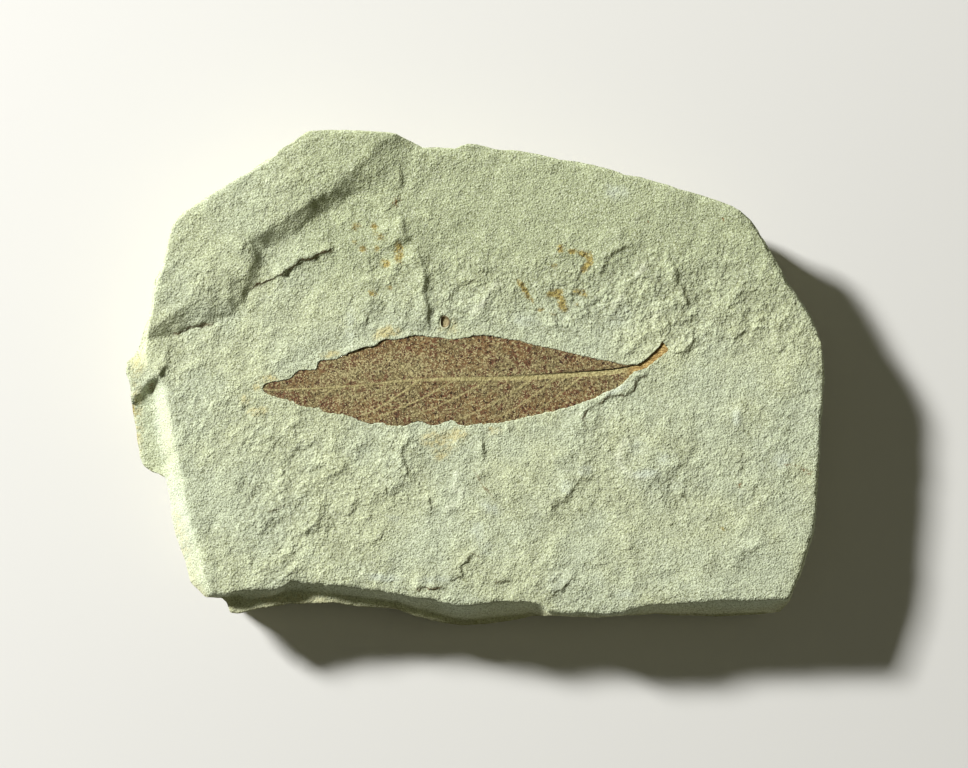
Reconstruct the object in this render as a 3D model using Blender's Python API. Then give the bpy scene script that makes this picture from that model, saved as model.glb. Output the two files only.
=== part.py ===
"""Fossil leaf plate: a broken slab of pale shale with the brown film of one leaf lying in its top.

The slab lies flat, +Z up, on its base. Its origin is the middle of the base, +X runs from the
leaf's tip to its stalk, and +Y to the slab's back edge. Every length below is in millimetres,
and MM turns it into metres where a mesh is made.
"""

import math

import bmesh
import bpy
import numpy as np

MM = 0.001

# Driving sizes.
SLAB_LENGTH = 116.8  # over the widest points of the rim
BED_HEIGHT = 15.0  # from the base to the bedding surface that carries the leaf
BLOCK_RISE = 2.0  # how far the corner block stands above that surface
SHELF_RISE = 0.6  # the thin bed left lying between the block and the leaf
FILM_THICKNESS = 0.4
FILM_SINK = 0.2  # the film lies this far below the bedding surface
FILM_GAP = 0.3  # clearance between the film and the stone round it
MIDRIB_SINK = 0.22
VEIN_RISE = 0.1
BASE_BEVEL = 1.0

# How finely the stone is faceted.
STATIONS = 160
TOP_RINGS = 16

HUB = (0.0, -1.0)  # the rims below are read as a radius about this point

# The edge of the top surface, anticlockwise from the right.
TOP_EDGE = [
    (57.8, 0.5), (57.0, 5.3), (55.8, 8.6), (51.5, 14.9), (48.2, 21.0), (45.6, 25.2), (43.2, 27.0),
    (41.8, 27.6), (34.0, 30.0), (24.7, 32.5), (14.0, 35.1), (8.3, 36.3), (3.1, 36.8), (0.2, 37.6),
    (-1.9, 37.6), (-3.4, 36.9), (-8.7, 37.0), (-12.0, 38.6), (-13.2, 39.2), (-20.0, 39.7),
    (-26.0, 39.9), (-28.0, 39.6), (-30.7, 37.8), (-33.3, 35.8), (-37.8, 32.7), (-43.0, 29.7),
    (-47.7, 26.6), (-49.2, 25.6), (-50.4, 24.0), (-51.4, 19.3), (-51.9, 17.3), (-53.2, 14.5),
    (-53.5, 10.5), (-54.2, 8.0), (-54.8, 5.5), (-55.0, 2.5), (-54.4, 0.4), (-52.6, -0.9),
    (-51.5, -2.6), (-51.3, -4.6), (-50.9, -7.2), (-50.4, -11.0), (-49.6, -14.9), (-48.6, -19.3),
    (-48.2, -22.0), (-47.5, -25.3), (-46.7, -28.1), (-45.6, -30.6), (-45.0, -34.5), (-43.8, -37.0),
    (-42.4, -37.4), (-40.7, -36.9), (-38.0, -36.5), (-33.6, -36.4), (-31.4, -35.6), (-30.2, -35.1),
    (-28.0, -35.3), (-22.0, -36.0), (-16.6, -36.5), (-12.4, -37.2), (-9.9, -38.0), (-6.5, -38.0),
    (-3.9, -39.1), (-1.7, -39.2), (3.4, -38.5), (8.5, -38.6), (10.4, -38.9), (11.8, -40.0),
    (14.1, -40.4), (18.3, -40.1), (22.2, -40.4), (24.8, -40.3), (26.5, -39.5), (34.1, -38.8),
    (42.0, -38.4), (51.7, -38.2), (52.4, -37.2), (53.6, -34.2), (54.4, -31.8), (56.0, -27.3),
    (56.5, -21.4), (56.9, -15.8), (57.1, -9.3), (57.6, -5.0),
]

# The outermost line of the stone, where the ledges and slopes below the top surface end.
RIM = [
    (58.2, 0.5), (57.4, 5.3), (56.1, 8.8), (51.9, 15.0), (48.5, 21.2), (45.9, 25.4), (43.4, 27.3),
    (42.0, 27.9), (34.1, 30.4), (24.8, 32.9), (14.1, 35.4), (8.4, 36.7), (3.1, 37.2), (0.2, 38.0),
    (-1.9, 38.0), (-3.4, 37.3), (-8.9, 37.4), (-12.1, 39.0), (-13.3, 39.6), (-20.0, 40.1),
    (-26.0, 40.2), (-28.1, 40.0), (-30.9, 38.1), (-33.5, 36.1), (-38.0, 33.1), (-43.1, 30.1),
    (-48.0, 26.9), (-49.5, 25.9), (-50.8, 24.2), (-51.9, 19.4), (-52.4, 17.5), (-53.8, 14.6),
    (-54.2, 10.7), (-54.9, 8.3), (-56.5, 3.7), (-57.3, 2.5), (-58.5, 1.5), (-58.6, -0.2),
    (-57.9, -2.4), (-57.5, -6.0), (-56.9, -9.9), (-56.3, -14.3), (-55.6, -15.8), (-54.1, -16.9),
    (-52.6, -17.2), (-51.8, -18.0), (-51.0, -22.0), (-50.9, -24.0), (-50.1, -27.8), (-48.6, -31.7),
    (-47.7, -35.3), (-45.1, -37.8), (-42.4, -37.9), (-41.7, -38.6), (-41.1, -40.4), (-39.6, -40.5),
    (-36.3, -39.7), (-31.0, -38.8), (-23.8, -38.7), (-13.8, -39.5), (-7.7, -41.6), (-2.7, -42.4),
    (2.3, -42.1), (9.5, -40.9), (14.1, -40.9), (24.8, -40.9), (30.0, -40.5), (36.0, -40.8),
    (45.0, -40.7), (50.8, -40.2), (52.3, -38.4), (53.1, -36.0), (54.0, -34.3), (54.8, -31.9),
    (56.3, -27.4), (56.8, -21.4), (57.2, -15.8), (57.5, -9.3), (58.0, -4.5),
]

# Down from the top edge to the rim: (degrees round from +X, fall, flat share of the way).
RIM_FALLS = [
    (0, 0.5, 0.0), (80, 0.5, 0.0), (150, 0.6, 0.0), (165, 0.9, 0.0), (171, 1.8, 0.1),
    (182, 2.8, 0.2), (186, 3.9, 0.5), (195, 3.9, 0.5), (198, 3.2, 0.0), (216, 3.0, 0.0),
    (220, 1.6, 0.0), (222, 2.8, 0.6), (238, 3.4, 0.5), (255, 5.0, 0.4), (266, 6.5, 0.3),
    (283, 5.0, 0.2), (288, 1.2, 0.0), (302, 1.2, 0.0), (306, 4.5, 0.1), (321, 5.5, 0.1),
    (325, 0.8, 0.0), (360, 0.5, 0.0),
]

# The corner block: the line where it starts to fall and the foot of that fall. Both run from
# the slab's left edge to its back edge, with the block on their left.
BLOCK_CREST = [
    (-58.0, 5.6), (-54.9, 6.6), (-50.1, 9.4), (-46.0, 12.6), (-41.9, 15.9), (-39.2, 17.3),
    (-38.6, 20.5), (-35.9, 22.9), (-31.8, 25.1), (-28.1, 27.8), (-24.2, 30.1), (-20.6, 33.0),
    (-18.4, 35.2), (-15.8, 38.3), (-14.6, 41.0),
]
BLOCK_FOOT = [
    (-59.0, 3.6), (-52.0, 5.8), (-48.0, 7.1), (-43.3, 8.0), (-41.0, 9.6), (-38.8, 11.2),
    (-37.9, 13.9), (-34.5, 15.8), (-33.2, 19.3), (-33.3, 21.5), (-29.9, 24.2), (-26.6, 26.3),
    (-21.2, 28.9), (-16.5, 31.6), (-12.6, 31.6), (-9.5, 35.0), (-7.5, 39.0),
]

# Broken edges of thin beds: (drop, how far the raised side reaches back, points). The raised
# side is on the left of each line.
BED_STEPS = {
    "shelf": (SHELF_RISE, 6.0, [
        (-51.9, 5.7), (-48.0, 7.1), (-43.3, 7.9), (-39.2, 10.4), (-37.9, 13.7), (-32.9, 15.8),
        (-29.9, 17.9), (-26.0, 19.4), (-22.0, 20.4),
    ]),
    "shelf_side": (0.6, 4.0, [
        (-7.9, 6.7), (-8.2, 11.5), (-8.6, 16.0), (-10.2, 20.6), (-11.8, 22.8), (-12.9, 25.6),
    ]),
    "notch": (0.6, 3.0, [(-16.2, 26.2), (-12.2, 29.4)]),
    "corner_wall": (1.3, 4.0, [(-57.6, -5.6), (-54.0, -2.4), (-52.2, -0.2), (-51.0, 4.6)]),
    "leaf_flap": (0.45, 3.0, [
        (17.6, -8.6), (17.8, -7.4), (20.6, -5.5), (23.0, -4.25), (25.9, -3.6), (26.4, -2.1),
        (28.8, -0.9),
    ]),
    "stalk_patch": (0.4, 4.0, [(30.4, 1.7), (35.8, 3.8), (36.4, 6.4), (36.0, 8.7), (34.6, 14.0)]),
    "upper_step": (0.5, 4.0, [(20.6, 16.2), (22.2, 19.4), (26.0, 21.0)]),
    "lower_step": (0.45, 4.0, [(13.0, -22.7), (15.5, -21.5), (16.6, -19.0), (19.5, -17.9)]),
    "front_step": (0.45, 5.0, [
        (-9.6, -36.4), (-5.1, -36.2), (-2.5, -34.2), (-0.9, -31.2), (2.0, -31.2),
    ]),
    "front_fall": (0.6, 5.0, [(11.5, -40.6), (12.3, -37.9), (15.0, -35.6), (15.6, -33.8)]),
    "mid_step": (0.45, 3.0, [(1.3, -14.8), (1.4, -13.4), (0.9, -10.4)]),
}
STEP_WIDTH = 1.2
STEP_FADE = 2.0

# The leaf, from its tip to the cut end of its stalk.
UPPER_MARGIN = [
    (-35.6, -3.1), (-35.2, -2.4), (-34.5, -2.05), (-31.4, -1.7), (-30.0, -0.4), (-28.8, -0.05),
    (-26.6, 0.05), (-26.3, 1.1), (-25.4, 1.7), (-22.8, 2.0), (-20.5, 3.2), (-19.5, 3.6),
    (-17.2, 3.7), (-16.6, 4.4), (-15.7, 5.0), (-12.1, 5.15), (-10.9, 5.75), (-8.4, 5.6),
    (-4.5, 5.3), (-1.3, 5.45), (0.3, 5.85), (2.3, 5.55), (6.2, 5.0), (9.9, 4.15), (14.0, 3.3),
    (17.2, 2.4), (20.6, 1.8), (23.3, 1.15), (25.2, 0.8), (26.9, 0.94), (27.7, 1.35), (28.6, 2.1),
    (29.9, 3.2), (31.0, 4.8),
]
LOWER_MARGIN = [
    (-35.6, -3.1), (-35.3, -3.7), (-34.5, -4.15), (-32.0, -4.9), (-30.4, -5.25), (-29.8, -5.75),
    (-26.8, -6.2), (-25.8, -6.5), (-25.0, -7.0), (-22.1, -7.3), (-20.8, -7.75), (-20.2, -8.15),
    (-17.7, -8.75), (-15.4, -8.85), (-14.6, -9.2), (-11.5, -9.3), (-10.4, -8.75), (-8.8, -8.5),
    (-8.1, -9.1), (-6.9, -9.3), (-4.9, -8.5), (-3.6, -8.6), (-2.6, -9.2), (-0.4, -8.95),
    (2.3, -9.1), (4.3, -8.65), (6.7, -8.5), (9.1, -7.65), (14.0, -6.8), (17.4, -5.7),
    (20.1, -4.6), (22.8, -3.2), (25.0, -1.7), (26.2, -0.25), (27.7, 0.1), (28.6, 0.6),
    (29.9, 1.5), (31.1, 2.45), (32.1, 3.4),
]
MIDRIB = [
    (-35.6, -3.1), (-34.0, -3.4), (-24.0, -2.85), (-12.0, -1.8), (-6.0, -1.5), (6.0, -1.25),
    (12.0, -1.05), (18.0, -0.65), (22.0, -0.25), (25.0, 0.15), (27.2, 0.6), (28.6, 1.35),
    (30.0, 2.4), (31.55, 4.1),
]
BLADE_END = 25.2  # where the stalk begins
MIDRIB_HALF_WIDTH = 0.45
VEIN_SPACING = 4.7
VEIN_LEAN = 1.3  # a vein runs this far towards the tip for each millimetre it runs outward

# Where a line of the stone's facets runs from the leaf's outline to the top edge. Each pair
# is a point near the leaf's outline and a point near the slab's top edge.
ANCHORS = [
    ((-35.6, -3.1), (-51.3, -4.6)),
    ((-29.8, -5.75), (-43.8, -37.0)),
    ((-2.6, -9.2), (-1.7, -39.2)),
    ((20.1, -4.6), (51.7, -38.2)),
    ((32.1, 3.4), (57.8, 0.5)),
    ((31.0, 4.8), (45.6, 25.2)),
    ((0.3, 5.85), (0.2, 37.6)),
    ((-30.0, -0.4), (-49.2, 25.6)),
]

# A small oval seed print beside the leaf.
SEED_PLACE = (-5.3, 8.1)
SEED_HALF_LENGTH = 0.95
SEED_HALF_WIDTH = 0.65
SEED_HEIGHT = 0.5
SEED_SIDES = 20

STONE_COLOUR = (0.58, 0.60, 0.42)
FILM_COLOUR = (0.24, 0.14, 0.075)
SEED_COLOUR = (0.16, 0.09, 0.04)


# Arithmetic on plan shapes


def smooth(low, high, value):
    """0 below low, 1 above high, and an S between them."""
    t = np.clip((value - low) / (high - low), 0.0, 1.0)
    return t * t * (3.0 - 2.0 * t)


def lattice(column, row, seed):
    """A fixed pseudo-random angle for each whole-number cell corner."""
    mixed = (column * 374761393 + row * 668265263 + seed * 974634777) & 0xFFFFFFFF
    mixed = ((mixed ^ (mixed >> 13)) * 1274126177) & 0xFFFFFFFF
    return (mixed ^ (mixed >> 16)) / 0xFFFFFFFF * 2.0 * math.pi


def swell(x, y, cell, seed):
    """Smooth noise from -1 to 1 whose waves are about a cell long: slopes at the corners of a
    square lattice, blended with a quintic."""
    u, v = x / cell, y / cell
    column, row = np.floor(u).astype(np.int64), np.floor(v).astype(np.int64)
    u, v = u - column, v - row
    across = u**3 * (u * (u * 6.0 - 15.0) + 10.0)
    up = v**3 * (v * (v * 6.0 - 15.0) + 10.0)
    corners = []
    for right, top in ((0, 0), (1, 0), (0, 1), (1, 1)):
        angle = lattice(column + right, row + top, seed)
        corners.append(np.cos(angle) * (u - right) + np.sin(angle) * (v - top))
    low = corners[0] + (corners[1] - corners[0]) * across
    high = corners[2] + (corners[3] - corners[2]) * across
    return 1.4 * (low + (high - low) * up)


def beside(x, y, line):
    """For each point its distance from the line, positive on the line's left, with its place
    along the line and the line's length."""
    near = np.full(x.shape, np.inf)
    side = np.ones(x.shape)
    place = np.zeros(x.shape)
    run = 0.0
    for (x0, y0), (x1, y1) in zip(line, line[1:]):
        dx, dy = x1 - x0, y1 - y0
        length = math.hypot(dx, dy)
        share = np.clip(((x - x0) * dx + (y - y0) * dy) / length**2, 0.0, 1.0)
        gap = np.hypot(x - x0 - share * dx, y - y0 - share * dy)
        nearer = gap < near
        near = np.where(nearer, gap, near)
        side = np.where(nearer, np.sign(dx * (y - y0) - dy * (x - x0)), side)
        place = np.where(nearer, run + share * length, place)
        run += length
    return near * side, place, run


def running(points):
    """Length from the first point to each point of a line."""
    steps = np.hypot(*np.diff(np.array(points, float), axis=0).T)
    return np.concatenate([[0.0], np.cumsum(steps)])


def at_share(points, share):
    """Points at these shares of a line's length."""
    points = np.array(points, float)
    run = running(points)
    return np.stack([np.interp(share * run[-1], run, points[:, k]) for k in (0, 1)], axis=1)


def radius_at(rim, angle):
    """A rim's radius about the hub at each angle."""
    rim = np.array(rim, float) - HUB
    turn = np.unwrap(np.arctan2(rim[:, 1], rim[:, 0]))
    order = np.argsort(turn % (2.0 * math.pi))
    return np.interp(
        angle, turn[order] % (2.0 * math.pi), np.hypot(*rim.T)[order], period=2.0 * math.pi
    )


# The stone's top surface


def leaf_outline():
    """The leaf's closed outline, anticlockwise from its tip."""
    return LOWER_MARGIN + UPPER_MARGIN[:0:-1]


def bedding(x, y):
    """Height of the stone's top over the base: the calm bedding surface round the leaf, the
    corner block, the broken edges of thin beds, and a slow swell."""
    outline = leaf_outline()
    distance, _, _ = beside(x, y, outline + outline[:1])
    calm = smooth(0.5, 5.0, np.abs(distance))
    height = BED_HEIGHT + calm * (
        0.25 * swell(x, y, 19.0, 3) + 0.16 * swell(x, y, 7.0, 5) + 0.07 * swell(x, y, 3.2, 8)
    )
    above_foot = np.maximum(beside(x, y, BLOCK_FOOT)[0], 0.0)
    below_crest = np.maximum(-beside(x, y, BLOCK_CREST)[0], 0.0)
    share = above_foot / np.maximum(above_foot + below_crest, 1e-6)
    height += BLOCK_RISE * share * (1.0 - 0.006 * (x + 55.0))
    for drop, reach, line in BED_STEPS.values():
        away, place, length = beside(x, y, line)
        fade = min(STEP_FADE, length / 3.0)
        ends = smooth(0.0, fade, place) * smooth(0.0, fade, length - place)
        raised = smooth(-STEP_WIDTH / 2.0, STEP_WIDTH / 2.0, away)
        height += drop * ends * raised * np.exp(-np.maximum(away, 0.0) / reach)
    return height


def matched_rings():
    """The leaf's outline and the top edge, each with a point for every station, so that lines
    between them fan out from the leaf to the slab's corners."""
    leaf = leaf_outline()
    leaf = leaf + leaf[:1]
    edge = TOP_EDGE + TOP_EDGE[:1]
    leaf_run, edge_run = running(leaf), running(edge)
    leaf_marks, edge_marks = [], []
    for on_leaf, on_edge in ANCHORS:
        leaf_marks.append(leaf_run[leaf.index(on_leaf)] / leaf_run[-1])
        edge_marks.append(edge_run[edge.index(on_edge)] / edge_run[-1])
    turned = [(mark - edge_marks[0]) % 1.0 for mark in edge_marks] + [1.0]
    share = np.arange(STATIONS) / STATIONS
    outer = at_share(edge, (share + edge_marks[0]) % 1.0)
    inner = at_share(leaf, np.interp(share, turned, leaf_marks + [1.0]))
    return inner, outer


def pushed_out(ring, distance):
    """A closed ring moved outward along its normals."""
    along = np.roll(ring, -1, axis=0) - np.roll(ring, 1, axis=0)
    along /= np.maximum(np.hypot(*along.T), 1e-9)[:, None]
    return ring + distance * np.stack([along[:, 1], -along[:, 0]], axis=1)


# Solids


def finished(name, mesh_builder, colour, roughness):
    """An object from a filled bmesh, with its own material, smooth where it is gently bent."""
    mesh = bpy.data.meshes.new(name)
    bmesh.ops.recalc_face_normals(mesh_builder, faces=mesh_builder.faces)
    mesh_builder.to_mesh(mesh)
    mesh_builder.free()
    mesh.shade_smooth()
    mesh.set_sharp_from_angle(angle=math.radians(32))
    material = bpy.data.materials.new(name)
    material.use_nodes = True
    shader = material.node_tree.nodes["Principled BSDF"]
    shader.inputs["Base Color"].default_value = (*colour, 1.0)
    shader.inputs["Roughness"].default_value = roughness
    shader.inputs["Metallic"].default_value = 0.0
    mesh.materials.append(material)
    obj = bpy.data.objects.new(name, mesh)
    bpy.context.scene.collection.objects.link(obj)
    return obj


def add_ring(mesh_builder, plan, height):
    """A closed ring of vertices over plan points."""
    heights = np.broadcast_to(height, len(plan))
    return [mesh_builder.verts.new((x * MM, y * MM, z * MM)) for (x, y), z in zip(plan, heights)]


def skin(mesh_builder, rings):
    """Quads between each closed ring and the next."""
    for first, second in zip(rings, rings[1:]):
        for k in range(len(first)):
            after = (k + 1) % len(first)
            mesh_builder.faces.new((first[k], first[after], second[after], second[k]))


def slab_rings():
    """(plan, height) of each ring of the slab, from the floor of the leaf's bed, out over the
    top surface, down over the rim and the broken sides to the base."""
    leaf, edge = matched_rings()
    bed = pushed_out(leaf, FILM_GAP)
    floor = BED_HEIGHT - FILM_SINK - MIDRIB_SINK - FILM_THICKNESS - FILM_GAP
    rings = [(bed, floor)]
    for k in range(TOP_RINGS + 1):
        share = (k / TOP_RINGS) ** 1.15
        plan = bed + (edge - bed) * share
        rings.append((plan, bedding(*plan.T)))

    spoke = np.arctan2(edge[:, 1] - HUB[1], edge[:, 0] - HUB[0])
    ray = np.stack([np.cos(spoke), np.sin(spoke)], axis=1)
    edge_radius = np.hypot(*(edge - HUB).T)
    rim_radius = radius_at(RIM, spoke % (2.0 * math.pi))
    degrees = np.degrees(spoke) % 360.0
    angles, falls, flats = (np.array(column, float) for column in zip(*RIM_FALLS))
    fall, flat = np.interp(degrees, angles, falls), np.interp(degrees, angles, flats)
    edge_height = rings[-1][1]
    plain_edge = np.minimum(edge_height, BED_HEIGHT + BLOCK_RISE)
    for share in (0.35, 0.7, 1.0):
        plan = HUB + ray * (edge_radius + (rim_radius - edge_radius) * share)[:, None]
        down = fall * np.minimum(share / (1.0 - flat), 1.0)
        rings.append((plan, plain_edge - down))

    rim_height = rings[-1][1]
    for level in (0.8, 0.62, 0.45, 0.26):
        height = BASE_BEVEL + (rim_height - BASE_BEVEL) * level
        ragged = 0.5 * swell(degrees / 6.0 + 40.0 * level, height, 1.7, 11) - 0.6 * (1.0 - level)
        plan = HUB + ray * (rim_radius - 0.5 + np.minimum(ragged, 0.4))[:, None]
        rings.append((plan, height))
    foot_radius = rim_radius - 1.0 - 0.5 * np.abs(swell(degrees / 9.0, degrees * 0.0, 2.0, 17))
    rings.append((HUB + ray * foot_radius[:, None], BASE_BEVEL))
    rings.append((HUB + ray * (foot_radius - BASE_BEVEL)[:, None], 0.0))
    return rings


def make_slab(pit):
    """The stone: one closed skin of rings, with the leaf's bed and the base filled in, and with
    the seed's pit cut out."""
    mesh_builder = bmesh.new()
    rings = [add_ring(mesh_builder, plan, height) for plan, height in slab_rings()]
    skin(mesh_builder, rings)
    for ring in (rings[0], rings[-1]):
        mesh_builder.faces.new(ring)
    slab = finished("slab", mesh_builder, STONE_COLOUR, 0.9)
    cut = slab.modifiers.new("seed pit", "BOOLEAN")
    cut.operation = "DIFFERENCE"
    cut.object = pit
    return slab


def leaf_stations():
    """(place on the midrib, is it a vein) for the film's cross lines: three close together on
    each vein, one between veins, and plain ones along the stalk."""
    crest = 0.45
    stations = [(MIDRIB[0][0] + 0.6, False), (MIDRIB[0][0] + 2.0, False)]
    root = MIDRIB[0][0] + VEIN_SPACING
    while root < BLADE_END - 3.0:
        stations += [(root - crest, False), (root, True), (root + crest, False)]
        stations.append((root + VEIN_SPACING / 2.0, False))
        root += VEIN_SPACING
    stalk_end = MIDRIB[-1][0]
    stations += [(x, False) for x in np.linspace(BLADE_END - 0.6, stalk_end, 9)]
    return stations


def film_line(x, margin, side):
    """Plan points of one half of a cross line, from the midrib's edge out to the margin. It
    leans towards the tip as the veins do; on the stalk it runs straight across."""
    rib = np.array(MIDRIB, float)
    edge = np.array(margin, float)
    centre = np.interp(x, rib[:, 0], rib[:, 1])
    stalk = max((x - BLADE_END) / (rib[-1, 0] - BLADE_END), 0.0)
    if stalk > 0.0:
        end_x = BLADE_END + stalk * (edge[-1, 0] - BLADE_END)
        half = MIDRIB_HALF_WIDTH * 0.5
    else:
        reach = abs(np.interp(x, edge[:, 0], edge[:, 1]) - centre)
        end_x = max(x - VEIN_LEAN * reach, (x + 3.0 * rib[0, 0]) / 4.0)
        half = min(MIDRIB_HALF_WIDTH, 0.3 * reach) * (0.4 + 0.6 * smooth(-36.0, 5.0, x))
    end = np.array([end_x, np.interp(end_x, edge[:, 0], edge[:, 1])])
    start = np.array([x, centre + side * half])
    return [start + (end - start) * share for share in (0.0, 0.36, 0.7, 1.0)]


def make_leaf():
    """The leaf's film: a thin plate with a sunk midrib and raised veins, and a flat underside."""
    mesh_builder = bmesh.new()
    top = BED_HEIGHT - FILM_SINK
    rows = []
    for x, on_vein in leaf_stations():
        lower = film_line(x, LOWER_MARGIN, -1.0)
        upper = film_line(x, UPPER_MARGIN, 1.0)
        centre = (lower[0] + upper[0]) / 2.0
        veined = [0.0, VEIN_RISE, VEIN_RISE, 0.0] if on_vein else [0.0] * 4
        line = list(zip(lower[::-1], veined[::-1])) + [(centre, -MIDRIB_SINK)]
        line += list(zip(upper, veined))
        rows.append([mesh_builder.verts.new((p[0] * MM, p[1] * MM, (top + z) * MM)) for p, z in line])
    for first, second in zip(rows, rows[1:]):
        for k in range(len(first) - 1):
            mesh_builder.faces.new((first[k], second[k], second[k + 1], first[k + 1]))
    tip = mesh_builder.verts.new((MIDRIB[0][0] * MM, MIDRIB[0][1] * MM, top * MM))
    for k in range(len(rows[0]) - 1):
        mesh_builder.faces.new((tip, rows[0][k], rows[0][k + 1]))
    border = [edge for edge in mesh_builder.edges if edge.is_boundary]
    made = bmesh.ops.extrude_edge_only(mesh_builder, edges=border)["geom"]
    underside = top - MIDRIB_SINK - FILM_THICKNESS
    for vertex in (item for item in made if isinstance(item, bmesh.types.BMVert)):
        vertex.co.z = underside * MM
    open_edges = [edge for edge in mesh_builder.edges if edge.is_boundary]
    bmesh.ops.holes_fill(mesh_builder, edges=open_edges, sides=0)
    return finished("leaf", mesh_builder, FILM_COLOUR, 0.8)


def seed_lens(mesh_builder, grown, low, high):
    """An oval plug with a rounded top, grown by this much all round."""
    rings = []
    for share, height in ((1.0, low), (1.0, (low + high) / 2.0), (0.62, high)):
        plan = []
        for k in range(SEED_SIDES):
            angle = 2.0 * math.pi * k / SEED_SIDES
            across = (SEED_HALF_WIDTH + grown) * share * math.cos(angle)
            along = (SEED_HALF_LENGTH + grown) * share * math.sin(angle)
            plan.append((SEED_PLACE[0] + across, SEED_PLACE[1] + along))
        rings.append(add_ring(mesh_builder, plan, height))
    skin(mesh_builder, rings)
    for ring in (rings[0], rings[-1]):
        mesh_builder.faces.new(ring)


def make_seed():
    """The seed's own film, a small oval lens just below the stone's surface."""
    mesh_builder = bmesh.new()
    high = BED_HEIGHT - FILM_SINK
    seed_lens(mesh_builder, 0.0, high - SEED_HEIGHT, high)
    return finished("seed", mesh_builder, SEED_COLOUR, 0.7)


def make_seed_pit():
    """The cutter for the pit that the seed lies in."""
    mesh_builder = bmesh.new()
    floor = BED_HEIGHT - FILM_SINK - SEED_HEIGHT - FILM_GAP
    seed_lens(mesh_builder, FILM_GAP, floor, BED_HEIGHT + 3.0)
    pit = finished("seed_pit_cutter", mesh_builder, STONE_COLOUR, 0.9)
    pit.hide_render = True
    pit.display_type = "WIRE"
    return pit


def centre_on_slab(slab, others):
    """Scales the plan to the slab's length and puts the middle of the slab's box at the origin."""
    plan = np.array([vertex.co[:2] for vertex in slab.data.vertices])
    low, high = plan.min(axis=0), plan.max(axis=0)
    scale = SLAB_LENGTH * MM / (high[0] - low[0])
    middle = (low + high) / 2.0
    for obj in [slab] + others:
        for vertex in obj.data.vertices:
            vertex.co.x = (vertex.co.x - middle[0]) * scale
            vertex.co.y = (vertex.co.y - middle[1]) * scale


for old in list(bpy.data.objects):
    bpy.data.objects.remove(old)

seed_pit = make_seed_pit()
stone = make_slab(seed_pit)
centre_on_slab(stone, [make_leaf(), make_seed(), seed_pit])
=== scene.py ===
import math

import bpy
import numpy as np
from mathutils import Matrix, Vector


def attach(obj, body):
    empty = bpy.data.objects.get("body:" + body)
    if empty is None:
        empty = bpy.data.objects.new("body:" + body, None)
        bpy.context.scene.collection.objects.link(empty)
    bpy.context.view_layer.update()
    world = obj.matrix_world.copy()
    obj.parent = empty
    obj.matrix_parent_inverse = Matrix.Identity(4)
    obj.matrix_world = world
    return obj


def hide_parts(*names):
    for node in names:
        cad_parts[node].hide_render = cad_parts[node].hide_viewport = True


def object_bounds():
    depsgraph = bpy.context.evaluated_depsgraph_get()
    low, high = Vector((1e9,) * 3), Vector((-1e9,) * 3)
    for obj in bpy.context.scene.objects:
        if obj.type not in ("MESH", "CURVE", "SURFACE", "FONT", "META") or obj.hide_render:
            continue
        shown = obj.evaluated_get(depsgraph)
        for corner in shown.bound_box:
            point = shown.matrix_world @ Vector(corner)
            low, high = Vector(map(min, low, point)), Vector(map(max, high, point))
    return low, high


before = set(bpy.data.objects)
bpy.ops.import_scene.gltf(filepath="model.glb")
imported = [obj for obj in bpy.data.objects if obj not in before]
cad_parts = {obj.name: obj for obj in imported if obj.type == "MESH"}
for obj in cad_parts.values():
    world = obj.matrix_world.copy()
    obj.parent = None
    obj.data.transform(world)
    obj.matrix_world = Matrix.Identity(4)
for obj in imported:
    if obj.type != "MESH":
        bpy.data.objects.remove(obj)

# The looks of a fossil leaf plate: a broken slab of pale shale with the brown carbon film of one
# leaf in its top. Lengths are in millimetres and MM turns them into metres. Plan points are drawn
# about the middle of the leaf's length, and PLAN_MIDDLE is where the solid's own origin lies in
# that drawing. +X runs from the leaf's tip to its stalk and +Y to the slab's back edge.

MM = 0.001
PLAN_MIDDLE = np.array([-0.193, -1.06])
cad_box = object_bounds()

# Driving sizes.
BED = 15.0  # height of the bedding surface that carries the leaf
BASE_BEVEL = 1.0
BASE_MIDDLE = 0.1  # height of the underside at its middle
FLOOR_SINK = 1.1  # the leaf's bed lies this far below the bedding surface
FILM_BACK = 0.75  # and the underside of its film this far

# How finely the stone is faceted.
STATIONS = 880
TOP_RINGS = 86
SLOPE_RINGS = 9
SIDE_RINGS = 20
BASE_RINGS = 9

HUB = np.array([0.0, -1.0])  # the stone's rings run round this point

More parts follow.
